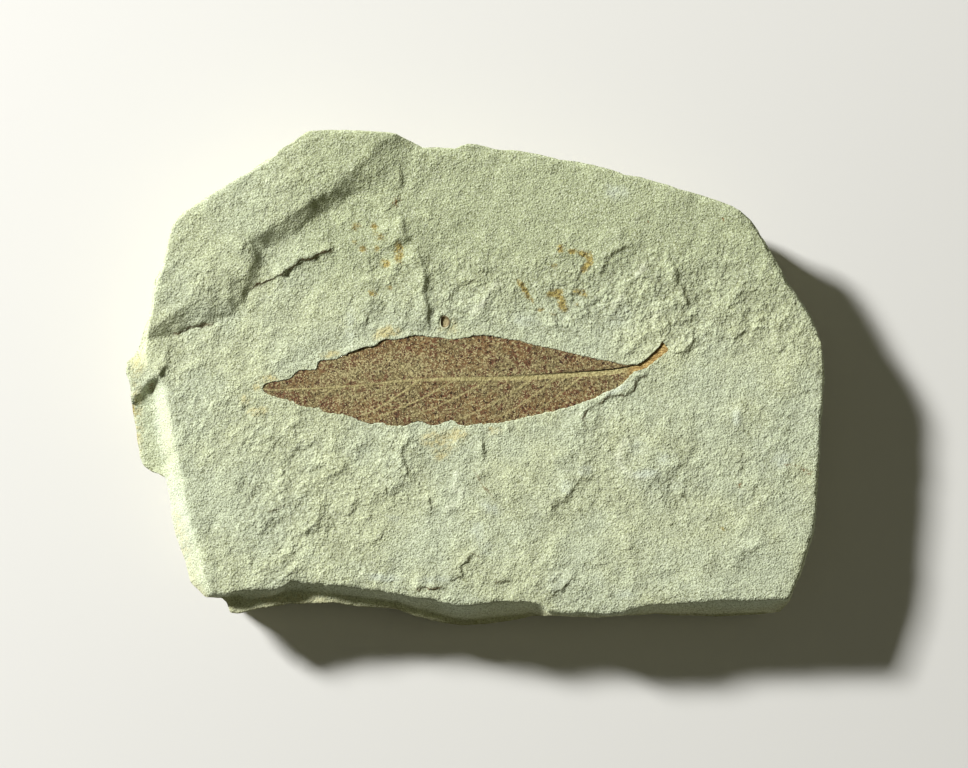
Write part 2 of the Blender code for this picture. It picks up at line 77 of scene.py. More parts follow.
# Where the top surface ends, and the slab's outline outside its slopes and ledges.
TOP_EDGE = [
    (57.8, 0.5), (57.6, 4.2), (56.8, 6.5), (55.8, 8.6), (54.3, 11), (52.7, 13.2), (51.5, 15.1),
    (50.5, 16.6), (48.5, 20.2), (47.2, 22.6), (45.5, 25.3), (44.4, 26.4), (43.2, 27.1),
    (41.8, 27.6), (37.6, 28.8), (34, 30.1), (30, 31.2), (24.7, 32.6), (20, 33.9), (16.5, 34.3),
    (14, 35.1), (8.3, 36.4), (3.1, 37), (0.3, 37.7), (-1.4, 37.9), (-2.6, 37.6), (-3.5, 37),
    (-8, 37), (-9.2, 37.2), (-10.9, 38.1), (-12.1, 38.8), (-13.2, 39.3), (-15.8, 39.6), (-20, 39.8),
    (-24, 40), (-26, 40), (-28, 39.6), (-29.8, 38.7), (-30.7, 37.9), (-32.6, 36.8), (-33.3, 35.8),
    (-35.2, 34.4), (-37.8, 32.8), (-39.7, 31.9), (-43, 29.8), (-45.9, 27.9), (-47.8, 26.7),
    (-49.2, 25.7), (-50.4, 24), (-51, 22.4), (-51.5, 19.3), (-51.9, 17.3), (-53.2, 14.5),
    (-53.5, 13), (-53.6, 10.6), (-54.3, 8.1), (-54.8, 5.5), (-55, 2.5), (-54.4, 0.4), (-52.6, -0.9),
    (-51.5, -2.6), (-51.3, -4.6), (-50.9, -7.2), (-50.4, -11), (-49.6, -14.9), (-48.6, -19.3),
    (-48.2, -22), (-47.5, -25.3), (-46.7, -28.1), (-45.6, -30.6), (-45, -34.5), (-43.8, -37),
    (-42.4, -37.5), (-40.7, -37), (-38, -36.5), (-33.6, -36.5), (-31.8, -36), (-31.1, -35.4),
    (-30.2, -35.1), (-28, -35.3), (-22, -36), (-18, -36.4), (-15.5, -36.8), (-12.4, -37.4),
    (-9.9, -37.8), (-6.9, -38), (-5.8, -38.4), (-4.4, -38.9), (-3.3, -39.2), (-1, -39.1),
    (2, -38.7), (4.2, -38.5), (7.9, -38.5), (9.9, -38.7), (11.2, -39.1), (11.9, -40.1),
    (14.1, -40.4), (18.3, -40.3), (22.2, -40.5), (24.8, -40.4), (25.9, -39.8), (27.9, -39.3),
    (30.1, -39), (34.1, -38.85), (36, -38.6), (40, -38.4), (46.2, -38.35), (51.7, -38.2),
    (52.4, -37.2), (53, -35.8), (53.8, -34.2), (54.3, -32.4), (54.8, -30.9), (55.7, -28),
    (56.2, -25.2), (56.5, -21.4), (56.7, -17.5), (57, -15.4), (57.2, -9.3), (57.6, -5), (57.8, -2),
]
RIM = [
    (58.2, 0.5), (57.4, 5.3), (56.1, 8.8), (51.9, 15), (48.5, 21.2), (45.9, 25.4), (43.4, 27.3),
    (42, 27.9), (34.1, 30.4), (24.8, 32.9), (14.1, 35.4), (8.4, 36.7), (3.1, 37.2), (0.2, 38),
    (-1.9, 38), (-3.4, 37.3), (-8.9, 37.4), (-12.1, 39), (-13.3, 39.6), (-20, 40.1), (-26, 40.2),
    (-28.1, 40), (-30.9, 38.1), (-33.5, 36.1), (-38, 33.1), (-43.1, 30.1), (-48, 26.9),
    (-49.5, 25.9), (-50.8, 24.2), (-51.9, 19.4), (-52.4, 17.5), (-53.8, 14.6), (-54.2, 10.7),
    (-54.9, 8.3), (-56.5, 3.7), (-57.3, 2.5), (-58.5, 1.5), (-58.6, -0.2), (-57.9, -2.4),
    (-57.5, -6), (-56.9, -9.9), (-56.3, -14.3), (-55.6, -15.8), (-54.1, -16.9), (-52.6, -17.2),
    (-51.8, -18), (-51, -22), (-50.9, -24), (-50.1, -27.8), (-48.6, -31.7), (-47.7, -35.3),
    (-45.1, -37.8), (-42.4, -37.9), (-41.7, -38.6), (-41.1, -40.4), (-39.6, -40.5), (-36.3, -39.7),
    (-31, -38.8), (-23.8, -38.7), (-13.8, -39.5), (-7.7, -41.6), (-2.7, -42.4), (2.3, -42.1),
    (9.5, -40.9), (14.1, -40.9), (24.8, -40.9), (30, -40.5), (36, -40.8), (45, -40.7),
    (50.8, -40.2), (52.3, -38.4), (53.1, -36), (54, -34.3), (54.8, -31.9), (56.3, -27.4),
    (56.8, -21.4), (57.2, -15.8), (57.5, -9.3), (58, -4.5),
]

# Down from the top edge to the rim: (degrees round from +X, fall, flat share of the way).
RIM_FALLS = [
    (0, 0.5, 0), (80, 0.5, 0), (150, 0.6, 0), (165, 0.9, 0), (171, 1.8, 0.1), (176, 2.5, 0.1),
    (179.1, 3.1, 0.1), (180, 3.4, 0.55), (186, 3.9, 0.6), (195, 3.9, 0.62), (198, 3.2, 0),
    (216, 3, 0), (220, 1.6, 0), (222, 2.8, 0.6), (238, 3.4, 0.5), (255, 5, 0.4), (266, 6.5, 0.3),
    (283, 5, 0.2), (288, 1.2, 0), (302, 1.2, 0), (306, 4.5, 0.1), (321, 5.5, 0.1), (325, 0.8, 0),
    (360, 0.5, 0),
]
WALL_TURN = 4.2  # degrees that the ledge's end wall swings on its way out to the rim
WALL_SWINGS = (175.0, 178.5, 192.0, 200.0)  # degrees: it sets in, is full, wanes, and is over
EVENED_OVER = 9  # the sides' plan is evened over this many stations to each hand
EVENED_MOST = 0.8  # and never moves out by more than this

# The corner block, with its raised side on the left of its crest.
BLOCK_CREST = [
    (-58, 5.6), (-54.9, 6.6), (-52.8, 7.9), (-50.1, 9.4), (-48.3, 10.9), (-46, 12.6), (-43.7, 14.3),
    (-41.9, 15.9), (-39.5, 17.1), (-38.8, 19), (-38.4, 21.6), (-35.9, 22.9), (-34.1, 23.9),
    (-31.8, 25.1), (-29.9, 26.6), (-28.1, 27.8), (-26, 29.05), (-24.2, 30.1), (-22.3, 31.8),
    (-20.6, 33), (-19.3, 34.4), (-17.5, 35.9), (-15.8, 38.3), (-14.6, 41),
]
# How high the corner block stands over the bedding surface, by place along X.
BLOCK_RISE = [
    (-58, 1.5), (-50, 1.55), (-44, 1.85), (-38, 1.85), (-33, 1.7), (-20, 1.75), (-12, 1.6),
]
SCARP_WIDTHS = [2.7, 5.6]  # along the crest, and at its back end
BLOCK_FOOT = [
    (-59, 3.6), (-52, 5.8), (-49.8, 6.3), (-48, 7.1), (-43.3, 8), (-41, 9.6), (-38.8, 11.2),
    (-37.9, 13.9), (-34.5, 15.8), (-33.2, 19.3), (-33.3, 21.5), (-32, 23.2), (-29.9, 24.2),
    (-28.1, 25.1), (-26.6, 26.3), (-24.5, 27.5), (-21.2, 28.9), (-18.1, 30.7), (-16.5, 31.6),
    (-12.8, 31.9), (-11.9, 33.8), (-9.5, 35.2), (-7.5, 39),
]

# Broken edges of thin beds, with the raised side on the left of each line. Each is (rise, how
# far the raised side reaches back, width of the broken face, depth of a hairline at its foot,
# with less than nothing for a face that faces the light and is painted pale as a highlight).
BED_LIPS = [
    (0.4, 6, 0.8, 0.21, [(-38.9, 13.3), (-37.9, 13.7), (-35, 14.7), (-32.9, 15.8), (-31.1, 16.9)]),
    (0.75, 6, 1.2, 0.21, [
        (-33.6, 15.4), (-32.9, 15.8), (-31.1, 16.9), (-29.9, 17.9), (-28.1, 18.7), (-26, 19.4),
        (-24.4, 19.9), (-23.2, 20.1)]),
    (0.3, 6, 1.4, 0, [(-43.3, 7.9), (-41, 9.6), (-39.2, 10.4), (-38.6, 12.3), (-37.5, 13.9)]),
    (0.24, 6, 0.5, 0.21, [(-51.9, 5.7), (-49.8, 6.2), (-48, 7.1), (-45.5, 7.6), (-42.9, 7.9)]),
    (0.42, 4, 2.6, -0.02, [(-53.9, -2), (-52.3, -0.2), (-51.5, 2.2), (-50.8, 5.5)]),
    (0.55, 2, 0.7, 0, [(-53.4, -1.7), (-52.6, -0.7), (-51.9, 0.3), (-51.4, 1.2)]),
    (0.18, 2, 0.35, 0.06, [(-28.3, 31.9), (-26.8, 32.5), (-25.1, 33)]),
    (0.3, 2, 1, 0, [(-39.3, 18.6), (-38.9, 20.4), (-38.3, 22.2)]),
    (0.55, 3, 1.8, 0.05, [(-16.4, 25.9), (-15.2, 26.5), (-13.6, 27.9), (-12.2, 29.4)]),
    (0.3, 3, 1, 0, [(-12.2, 29.6), (-12.3, 31.5), (-12.7, 34.2)]),
    (0.9, 4, 2.4, 0, [(-10.9, 21.2), (-11.7, 22.6), (-12.3, 24.2), (-12.7, 25.8)]),
    (0.16, 2, 0.4, 0.05, [(-12.3, 25), (-10, 25.4), (-8.2, 25.3), (-6, 25.6)]),
    (0.9, 4, 2.6, 0, [
        (-7.9, 6.4), (-8.1, 9.3), (-8.2, 11.5), (-8.35, 13.8), (-8.6, 16.6), (-9.3, 18.3),
        (-9.9, 20), (-11, 21.4)]),
    (0.14, 2, 0.6, 0, [(-17.8, 16.4), (-18, 18.8), (-17.8, 21)]),
    (0.3, 3, 0.7, 0, [(-17.8, 6.3), (-18.4, 7.6), (-18.2, 9.3), (-17.2, 10), (-15.3, 10.1)]),
    (0.2, 3, 0.9, 0.05, [(-3.9, 13.6), (-2.2, 14.3), (0.1, 15), (0.9, 16.4), (2.6, 17.4)]),
    (0.18, 2, 0.8, 0, [(-6.2, 10.3), (-5.4, 11.6), (-3.7, 12.6)]),
    (0.42, 3, 1.8, -0.1, [(3.9, 15.9), (3.1, 14.4), (2.1, 12.4), (0.5, 10.7), (-2, 8.7)]),
    (0.18, 2, 0.5, 0, [(12.4, 6.5), (13.5, 7.5), (13.6, 8.8)]),
    (0.15, 1.5, 0.4, 0.04, [(11.6, 33.5), (12.4, 33.1), (13.4, 33.1)]),
    (0.48, 4, 1.4, 0.03, [
        (19.9, 16.2), (21, 16.5), (21.5, 17.5), (22.1, 18.8), (22.9, 19.6), (24.4, 20.4),
        (26.4, 21.1)]),
    (0.45, 2.5, 2.2, -0.1, [(29.3, 18.6), (27.4, 16.8), (25.7, 15)]),
    (0.45, 2.5, 2.2, -0.1, [(25.2, 13.4), (23.7, 11.7), (22, 9.9)]),
    (0.3, 2.5, 1.6, -0.08, [(31.5, 10.2), (29.9, 8.8), (29, 7.2)]),
    (0.4, 4, 1.2, 0, [(35.5, 10), (35, 12), (34.4, 13.8), (33.7, 15), (33.3, 17), (31.5, 20.5)]),
    (0.42, 4, 1.4, 0, [(31.9, 2.5), (34, 3), (35.6, 3.7), (36.1, 4.8), (36.2, 6.2), (36.3, 7.8)]),
    (0.22, 2, 0.6, 0, [(42.3, 12.1), (44.5, 13), (46, 13.2), (48, 14.4)]),
    (0.22, 2, 0.6, 0, [(40.1, 19.2), (40.2, 20.2), (40.5, 21.4)]),
    (0.22, 2, 0.6, 0, [(39.2, 5), (41.4, 5.3), (43.2, 5.3), (45.5, 7.2)]),
    (0.18, 2, 0.5, 0, [(41.2, 2.4), (41.7, 3.4), (42.1, 4.4)]),
    (0.2, 2, 0.6, 0, [(50, 3), (50.9, 3.3), (51.6, 3.2)]),
    (0.26, 3, 1.2, 0, [(56.9, 3.9), (55, 4.8), (53.4, 5.9)]),
    (0.3, 2.2, 0.3, 0.12, [
        (18.7, -10.2), (18.3, -9.5), (17.6, -8.5), (17.8, -7.6), (18.6, -6.8), (19.4, -6.3),
        (21.1, -5.3), (22.3, -4.6), (23.5, -4.2), (25.2, -4), (26, -3.4), (26.4, -2), (27.6, -1.4),
        (28.6, -1.1), (29.3, -0.2)]),
    (0.34, 3, 2, 0, [
        (30.6, -17.2), (32.5, -16.9), (34, -15.9), (35.5, -15), (35.9, -12.5), (36.1, -9.4)]),
    (0.4, 3, 2.4, -0.1, [
        (25.9, -10.8), (24.1, -12.7), (23.6, -15), (24.5, -16.9), (27.3, -18.2), (30.5, -18)]),
    (0.22, 2, 0.7, 0, [(43.8, -15.8), (43.9, -14.6), (44.1, -13)]),
    (0.26, 2, 0.8, 0, [(43.2, -18), (43.8, -17), (44.8, -16)]),
    (0.3, 2.5, 1.8, -0.06, [(43.9, -5.8), (43.2, -7.4), (43.1, -9.6)]),
    (0.26, 2, 0.6, 0.05, [(44.2, -32), (44.3, -30.6), (45.5, -30.2), (47, -29.6), (48.9, -28.8)]),
    (0.22, 2, 0.6, 0, [(41.7, -33.1), (42.8, -32.9), (44, -32.7)]),
    (0.2, 2, 0.6, 0, [(37.4, -34.2), (37.8, -32.8), (39, -32.2), (40.4, -32.1)]),
    (0.34, 3, 1.2, 0.03, [
        (-12, -20.4), (-12.7, -18.9), (-11.4, -17.3), (-11.8, -16), (-12.5, -14.6), (-12.4, -13.2),
        (-11.4, -12.6), (-11.3, -11.4), (-10.1, -10.2)]),
    (0.18, 1.5, 0.5, 0, [(-11.9, -11.9), (-10.8, -11.7), (-9.4, -11.5)]),
    (0.22, 1.5, 0.6, 0, [(-7.3, -24.1), (-7.7, -22), (-8.6, -20.6)]),
    (0.44, 3, 1.6, 0, [(1.2, -15.2), (1.4, -13.6), (1.2, -12), (0.9, -10.6), (1.7, -9.5)]),
    (0.2, 1.5, 0.5, 0.05, [(1.9, -11.1), (3, -10.8), (4.3, -11)]),
    (0.22, 2, 0.8, 0, [(4.8, -10.4), (5.6, -9.7), (6.6, -8.9)]),
    (0.26, 1.8, 0.8, 0.12, [
        (-1.1, -15.8), (-0.3, -16.7), (0.3, -17.9), (0.9, -19), (1.8, -19.9), (2.8, -21),
        (3.9, -22.3)]),
    (0.36, 2, 1.8, -0.08, [
        (-2.7, -15), (-3.2, -17), (-3.6, -19.2), (-2.4, -21), (-3.4, -22.7), (-6.4, -23.6)]),
    (0.42, 4, 1.2, 0.03, [
        (13.6, -25), (12.8, -22.9), (13.5, -22.2), (15.2, -21.5), (16.1, -20.1), (16.7, -18.8),
        (17.8, -18.2), (19.8, -17.9)]),
    (0.24, 1.5, 0.3, 0.14, [(-1.5, -30.5), (0, -30.8), (1.5, -31.5)]),
    (0.45, 5, 0.7, 0.05, [
        (-4.9, -36), (-3.7, -34.9), (-2.3, -34), (-2.5, -32.8), (-0.9, -31.3), (0.2, -30.9)]),
    (0.45, 5, 0.4, 0.16, [(-11, -36.7), (-8.7, -36.35), (-6.6, -36.3), (-4.7, -36)]),
    (0.32, 2, 0.5, 0.1, [(2.6, -36.4), (3.5, -35.3), (4.5, -34.95), (6.1, -35.3)]),
    (0.36, 5, 0.8, 0.03, [
        (11.3, -39), (12.4, -37.7), (13.4, -36.8), (14.7, -35.9), (15.9, -35.1), (15.4, -33.3)]),
    (0.18, 1.5, 0.4, 0.05, [(8.7, -37.6), (9.6, -37.3), (10.4, -37.5)]),
    (0.28, 3, 0.9, 0, [(-17.7, -30.6), (-16.9, -29), (-15.8, -27.6), (-15.1, -25.8)]),
    (0.22, 2, 0.8, 0, [(-19.4, -33), (-19.1, -31.9), (-19.3, -30.8)]),
    (0.24, 2.5, 0.9, 0, [(-15.6, -21.4), (-15.1, -20.2), (-15.3, -18.8)]),
    (0.12, 1.5, 0.35, 0.1, [(-35.7, -23.8), (-34, -23.3), (-32.3, -22.7), (-30.2, -22.1)]),
    (0.3, 4, 1.2, 0, [(-33, -36.2), (-31, -34), (-28, -32.8)]),
    (0.3, 3, 1.1, 0, [(-24.3, -18.4), (-22.6, -16.9), (-21.7, -14.8)]),
    (0.28, 3, 1.1, 0, [(-28.9, -27.9), (-27.5, -26.2), (-25.2, -25.2)]),
    (0.26, 3, 1, 0, [(-39.6, -13), (-38, -11.4), (-36.6, -10.9)]),
    (0.26, 3, 1, 0, [(-28.6, -13.6), (-27.3, -12.2), (-27, -10.4)]),
]

LIP_REACH = 2.0  # the finest relief of a lip ends this far from its line
FLAKE_LEVELS = 10.0  # levels of thin flakes that the split cut through

# Small broken marks: (x, y, length, degrees round from +X, rise).
SMALL_LIPS = [
    (32.5, -25.8, 2, 25, 0.25), (25.3, -29.8, 1.6, 5, 0.2), (20.8, -32.5, 1.8, 10, 0.25),
    (26.4, -32.6, 2.4, 20, 0.28), (22.1, -37.5, 1.8, 5, 0.22), (23.8, -21.5, 1.8, 80, 0.3),
    (30.7, -21.4, 1.8, 15, 0.22), (8.5, -15.9, 1.4, 30, 0.2), (-28.7, 36, 1.2, 60, 0.18),
    (34.3, -21, 2.2, 20, 0.2), (38.7, -25, 1.6, 30, 0.18), (47.5, 8.4, 1.8, 40, 0.2),
    (-44.5, -9, 1.6, 40, 0.16), (-20.6, -23.5, 2, 60, 0.2), (5.9, 22.6, 2.2, 35, 0.14),
    (27.5, 25.5, 2, 40, 0.12), (9.8, -28.4, 2, 50, 0.14), (49.5, -22.5, 2.2, 60, 0.16),
]

# Round hollows, and bumps where the depth is less than nothing: (x, y, radius, depth).
HOLLOWS = [
    (2.8, 28.5, 0.6, 0.22), (-5.1, 29.6, 0.5, 0.16), (-43.5, -25.8, 0.7, 0.25),
    (-44.2, -26.6, 0.5, 0.2), (-40.7, -27.7, 0.5, 0.22), (-43.1, -33, 0.5, 0.28),
    (-31.2, -32.2, 0.8, 0.22), (-38.1, -27, 0.6, 0.15), (-44.6, -15, 0.6, 0.15),
    (-13.2, -33.8, 0.5, 0.2), (-15.5, -35.8, 0.4, 0.2), (53, -18.2, 1, 0.22), (31, -18.2, 0.7, 0.2),
    (32.4, -18.9, 0.7, 0.22), (33.6, -17.8, 0.7, 0.2), (32.8, -20, 0.6, 0.15),
    (56.1, 4.8, 0.8, 0.2), (39, -1.6, 0.7, 0.1), (-37.4, 20.7, 1.3, 0.25), (12.4, 17.8, 1.1, 0.16),
    (-30, 4.5, 2.6, 0.1), (-14, -38.2, 0.8, -0.25), (29.4, -13.4, 4.4, -0.28),
    (-38.4, 27, 5, -0.15), (8.4, -12.9, 2.2, 0.12), (-17.6, 11.2, 1.4, -0.2), (33, 15.5, 1.6, -0.2),
    (-1, 20.6, 3.5, 0.12), (26.2, 18.6, 1.5, 0.14), (23.6, 14.8, 1.4, 0.16), (47, 20, 1.2, 0.14),
]

# How rough the split surface is, 0 to 1: (x, y, half width, half height, change from middling).
MIDDLING = 0.54
ROUGH_PLACES = [
    (14, 27.5, 19, 6, -0.34), (-42, -21.2, 2.6, 4.6, -0.5), (38, 26, 6, 4, -0.1),
    (-2, -27, 12, 5, -0.28), (6, -14, 6, 5, -0.2), (30, -28, 14, 7, -0.15), (43, 0, 8, 4, -0.25),
    (46, -5, 9, 5, -0.1), (-29, -20, 16, 14, 0.14), (28, 12, 12, 8, 0.34), (46, 9, 8, 7, 0.25),
    (-27, 10, 9, 5, -0.12), (-13, 15, 5, 8, 0.2), (2, 14, 8, 5, 0.25),
    (20, 14, 5, 5, 0.2), (-12, -14, 6, 4, 0.1), (22, -13, 6, 6, 0.05), (-26, 22, 10, 2.6, -0.2),
    (8, -31, 7, 4, 0.15), (34, -20, 5, 3, 0.2), (52, -30, 4, 7, -0.15), (-55, -9, 3.5, 9, -0.25),
    (-49, -26, 3, 10, -0.3),
]

# The leaf, from its tip to the cut end of its stalk.
UPPER_MARGIN = [
    (-35.6, -3.1), (-35.2, -2.4), (-34.5, -2.05), (-32.9, -1.9), (-31.5, -1.65), (-30.6, -1.2),
    (-30, -0.5), (-29.5, -0.1), (-28.1, 0.1), (-26.6, 0.05), (-26.35, 1), (-25.9, 1.5),
    (-25.1, 1.8), (-24.2, 1.7), (-23, 1.9), (-22.1, 2.4), (-20.9, 3), (-19.8, 3.5), (-18.2, 3.8),
    (-16.9, 3.9), (-16.5, 4.5), (-15.8, 4.9), (-14.9, 5.1), (-13.5, 5.15), (-11.9, 5.2),
    (-11.1, 5.7), (-10.1, 5.85), (-8, 5.6), (-5.7, 5.4), (-4.5, 5.1), (-3.4, 5.1), (-2.5, 5.4),
    (-1.1, 5.5), (-0.3, 5.85), (1.4, 5.85), (3.3, 5.55), (5, 5.25), (7, 5), (8.7, 4.5), (10, 4.15),
    (11.8, 3.8), (14, 3.35), (15.5, 2.9), (17, 2.5), (18.9, 2.15), (20.6, 1.8), (22.1, 1.5),
    (23.3, 1.15), (25.2, 0.8), (26.9, 0.98), (27.7, 1.4), (28.6, 2.1), (29.9, 3.25), (31, 4.8),
]
LOWER_MARGIN = [
    (-35.6, -3.1), (-35.3, -3.7), (-34.5, -4.15), (-33.4, -4.4), (-31.8, -4.95), (-30.4, -5.2),
    (-30, -5.65), (-28.8, -6), (-27.4, -6.2), (-26, -6.35), (-25.4, -6.85), (-24.2, -7.1),
    (-22.3, -7.3), (-20.9, -7.65), (-20.2, -8.15), (-18.6, -8.6), (-17, -8.85), (-15.4, -8.9),
    (-14.8, -9.25), (-13.1, -9.35), (-11.5, -9.25), (-10.7, -8.8), (-10.1, -8.55), (-8.9, -8.5),
    (-8.2, -9), (-7.5, -9.3), (-6.2, -9.2), (-5.2, -8.7), (-4.1, -8.35), (-3.4, -8.7), (-2.7, -9.2),
    (-1.9, -9.35), (-0.35, -9), (0.9, -8.9), (2.6, -8.85), (4, -8.85), (5, -8.5), (6.5, -8.4),
    (7.7, -7.95), (8.9, -7.75), (10, -7.4), (11.6, -7.1), (13.05, -6.85), (14.5, -6.4), (16.2, -6),
    (17.4, -5.6), (18.7, -5.1), (19.9, -4.6), (21.1, -4), (22.3, -3.5), (23.3, -2.9), (24.5, -2.2),
    (25.3, -1.4), (26.2, -0.3), (27.7, 0.1), (28.6, 0.6), (29.9, 1.5), (31.1, 2.45), (32.1, 3.5),
]
MIDRIB = [
    (-35.6, -3.1), (-34.4, -3.42), (-31.7, -3.3), (-27, -3.1), (-24, -2.9), (-20, -2.62), (-14, -2),
    (-9.2, -1.65), (-4.5, -1.5), (0.9, -1.45), (5.7, -1.35), (10.6, -1.15), (15.5, -0.8),
    (19.1, -0.6), (22.8, -0.3), (25.2, 0.1), (27.2, 0.6), (28.6, 1.35), (30, 2.4), (31.55, 4.2),
]
STALK_START = 25.0
TIP_SHARE = 0.0018  # share of each margin's length at which the film starts
# Noise in the leaf's outline and in the slab's top edge, as (wave, amount).
LEAF_RAGGED = ((1.6, 0.13), (0.7, 0.13), (0.36, 0.06))
EDGE_RAGGED = ((3.0, 0.12), (1.3, 0.09), (0.6, 0.08))

# Along the leaf as (x, value): half the midrib's width, the step of the upper half of the blade
# over the lower, how far the midrib stands up, how plainly the midrib shows, and how strong the
# painted shadow under that step is.
RIB_HALF = [(-36, 0.09), (-24, 0.11), (-12, 0.14), (-3, 0.28), (4, 0.36), (16, 0.42), (24, 0.44)]
RIB_STEP = [(-36, 0), (-10, 0.01), (-2, 0.05), (10, 0.12), (20, 0.2), (26, 0.2), (33, 0.1)]
RIB_RISE = [(-36, 0.05), (-6, 0.04), (4, 0)]
RIB_SHOWN = [(-36, 0.75), (-30, 0.9), (-12, 0.95), (24, 1), (27, 0)]
FOLD_SHADOW_SHOWN = [(-10, 0), (-4, 0.35), (6, 0.6), (18, 0.9), (24, 1), (32.5, 0.9)]
# Where each side vein leaves the midrib: (x, how far it falls away for each millimetre towards
# the tip, how plainly it shows).
LOWER_VEINS = [
    (-23.6, 0.9, 0.5), (-19, 0.85, 0.25), (-14.3, 0.8, 0.6), (-9.4, 0.77, 1), (-3.4, 0.64, 1),
    (2.4, 0.62, 0.95), (6.4, 0.66, 0.55), (9.9, 0.72, 1), (13.9, 0.85, 0.9), (18, 0.9, 0.9),
    (21.3, 0.95, 0.3),
]
UPPER_VEINS = [
    (-22, 0.85, 0.25), (-17, 0.85, 0.3), (-9.5, 0.85, 0.6), (-4.6, 0.8, 0.35), (0.4, 0.75, 0.3),
    (5.2, 0.72, 0.3), (9.8, 0.7, 0.3), (14.2, 0.7, 0.25),
]

# Where a line of the stone's facets runs from the leaf's outline to the top edge.
ANCHORS = [
    ((-35.6, -3.1), (-51.3, -4.6)), ((-30, -5.65), (-43.8, -37)), ((-2.7, -9.2), (-1, -39.1)),
    ((19.9, -4.6), (51.7, -38.2)), ((32.1, 3.5), (57.8, 0.5)), ((31, 4.8), (45.5, 25.3)),
    ((-0.3, 5.85), (0.3, 37.7)), ((-30, -0.5), (-49.2, 25.7)),
]

# How far the stone stands over the film along the leaf's outline: (x, rise) for each margin.
UPPER_STAND = [
    (-36, 0.16), (-34.5, 0.06), (-31, 0.04), (-29, 0.08), (-26.6, 0.1), (-25, 0), (-22, 0.06),
    (-20.8, 0.3), (-17.6, 0.32), (-16.9, 0.2), (-15.6, 0.24), (-14, 0.06), (-12, 0.06),
    (-11.2, 0.28), (-9.8, 0.22), (-8.5, 0.04), (-3, 0), (-1, 0.12), (1.5, 0.1), (4, 0.05),
    (12, 0.06), (20, 0.05), (23, 0.08), (26, 0.22), (31, 0.3), (33, 0.1),
]
LOWER_STAND = [
    (-36, 0.08), (-33, -0.02), (-24, -0.06), (-12, -0.07), (-5, -0.05), (3, -0.04), (10, 0.03),
    (18, 0.06), (25, 0.08), (27, 0), (33, 0),
]

SEED_PLACE = (-5.25, 8.0)
SEED_HALF = (0.82, 1.02)
SEED_PIT_WIDER = 0.05  # the seed's pit reaches this much past the seed
SEED_PIT_DEPTH = 0.6
# The seed's film from the middle of its dish over its rim and back underneath: (share of the
# way out, height).
SEED_PROFILE = [
    (0.12, -0.34), (0.35, -0.35), (0.55, -0.32), (0.7, -0.24), (0.8, -0.12), (0.9, -0.01),
    (1, 0.03), (1.1, 0.01), (1.18, -0.12), (0.95, -0.55), (0.5, -0.62), (0.12, -0.62),
]

# Stains that are only colour, and where the leaf's film is worn: (x, y, half width, half height,
# strength), and after those the degrees that it is turned by, if it is.
OCHRE = [
    (-20, 24, 1, 0.8, 0.55), (-17, 24, 0.6, 0.6, 0.9), (-16.2, 22.3, 0.7, 1.1, 0.6, 70),
    (-20.3, 21.5, 0.5, 0.4, 0.6), (-18.9, 20.3, 0.7, 0.6, 0.8), (-16.5, 20.3, 0.5, 0.6, 0.7),
    (-12.9, 19.6, 0.8, 1.9, 1), (-15.1, 17.8, 0.9, 0.7, 1.1, -20), (-17.2, 12.9, 0.9, 0.6, 0.9),
    (-14.4, 13.8, 0.8, 0.4, 0.6, -20), (14.1, 20.3, 0.6, 0.7, 1), (16.05, 19.9, 0.7, 0.5, 1.1),
    (17.7, 19.5, 0.7, 0.5, 1, -20), (18.9, 18.4, 0.6, 1.3, 1.25), (18.1, 17, 0.5, 0.9, 1.1, -40),
    (13.1, 17.4, 0.7, 0.5, 0.6), (7.4, 14.5, 0.5, 0.9, 0.8, 45), (8.2, 13.1, 0.5, 1.1, 1, 20),
    (9.2, 11.8, 0.4, 0.8, 0.7, 30), (13, 12.9, 1.4, 0.6, 1.05, 15),
    (14.2, 11.5, 0.7, 1.5, 1.15, 10), (14.9, 10.5, 0.6, 0.6, 0.8), (18, 12.9, 0.8, 0.7, 0.7),
    (16.6, 13.2, 0.7, 0.7, 0.5), (10.7, 10.1, 0.9, 0.4, 0.6), (12.9, 9.4, 0.8, 0.4, 0.45),
    (16.9, 11, 0.7, 0.5, 0.45), (2.4, -9.9, 0.5, 0.6, 0.5), (-57.4, -7, 0.7, 1.8, 0.7),
    # The oval at (-53.8, -2.4) is partly a brown stain and partly painted shade in the shadowed
    # notch at the left.
    (-56.9, -10.5, 0.6, 1.5, 0.5), (-53.8, -2.4, 0.8, 1.4, 0.3, -40),
    (41.1, -26.5, 0.5, 0.25, 0.9, -20),
]
PALE_YELLOW = [
    (-15.2, 6.3, 2.4, 1.1, 0.8, 25), (-13.5, 6.2, 1.6, 0.7, 0.5), (-34.4, -1.4, 1.7, 0.8, 0.9, 10),
    (-36.6, -2.7, 0.8, 1, 0.7, 30), (-38.4, -4.9, 1.1, 1.2, 0.55, -30),
    (-36.4, -6.9, 1.9, 0.8, 0.8, 10), (-24.4, 2.6, 2.2, 0.7, 0.7, 10),
    (-20.6, 2, 1.4, 0.6, 0.5, 30), (-5.2, -12, 3.4, 2.2, 0.5), (-7.8, -11.4, 2, 1.6, 0.4),
    (-2.6, -10.4, 1.6, 1.2, 0.5), (-5.9, -14.4, 1.4, 0.9, 0.55), (-5.2, 6.6, 2.2, 1, 0.35),
    (-3.9, 7.6, 1, 1.2, 0.45), (3.2, -10.2, 1.8, 1, 0.4), (31.6, 1.6, 1, 0.5, 0.3, 30),
    (-56.8, -8, 1.4, 8, 0.55), (-56.5, 1.5, 2, 2.5, 0.4), (-49, -28, 1.8, 9, 0.5, 13),
    (-52, -9, 1.4, 7, 0.45, 4), (-30, -38, 12, 1.5, 0.4),
]
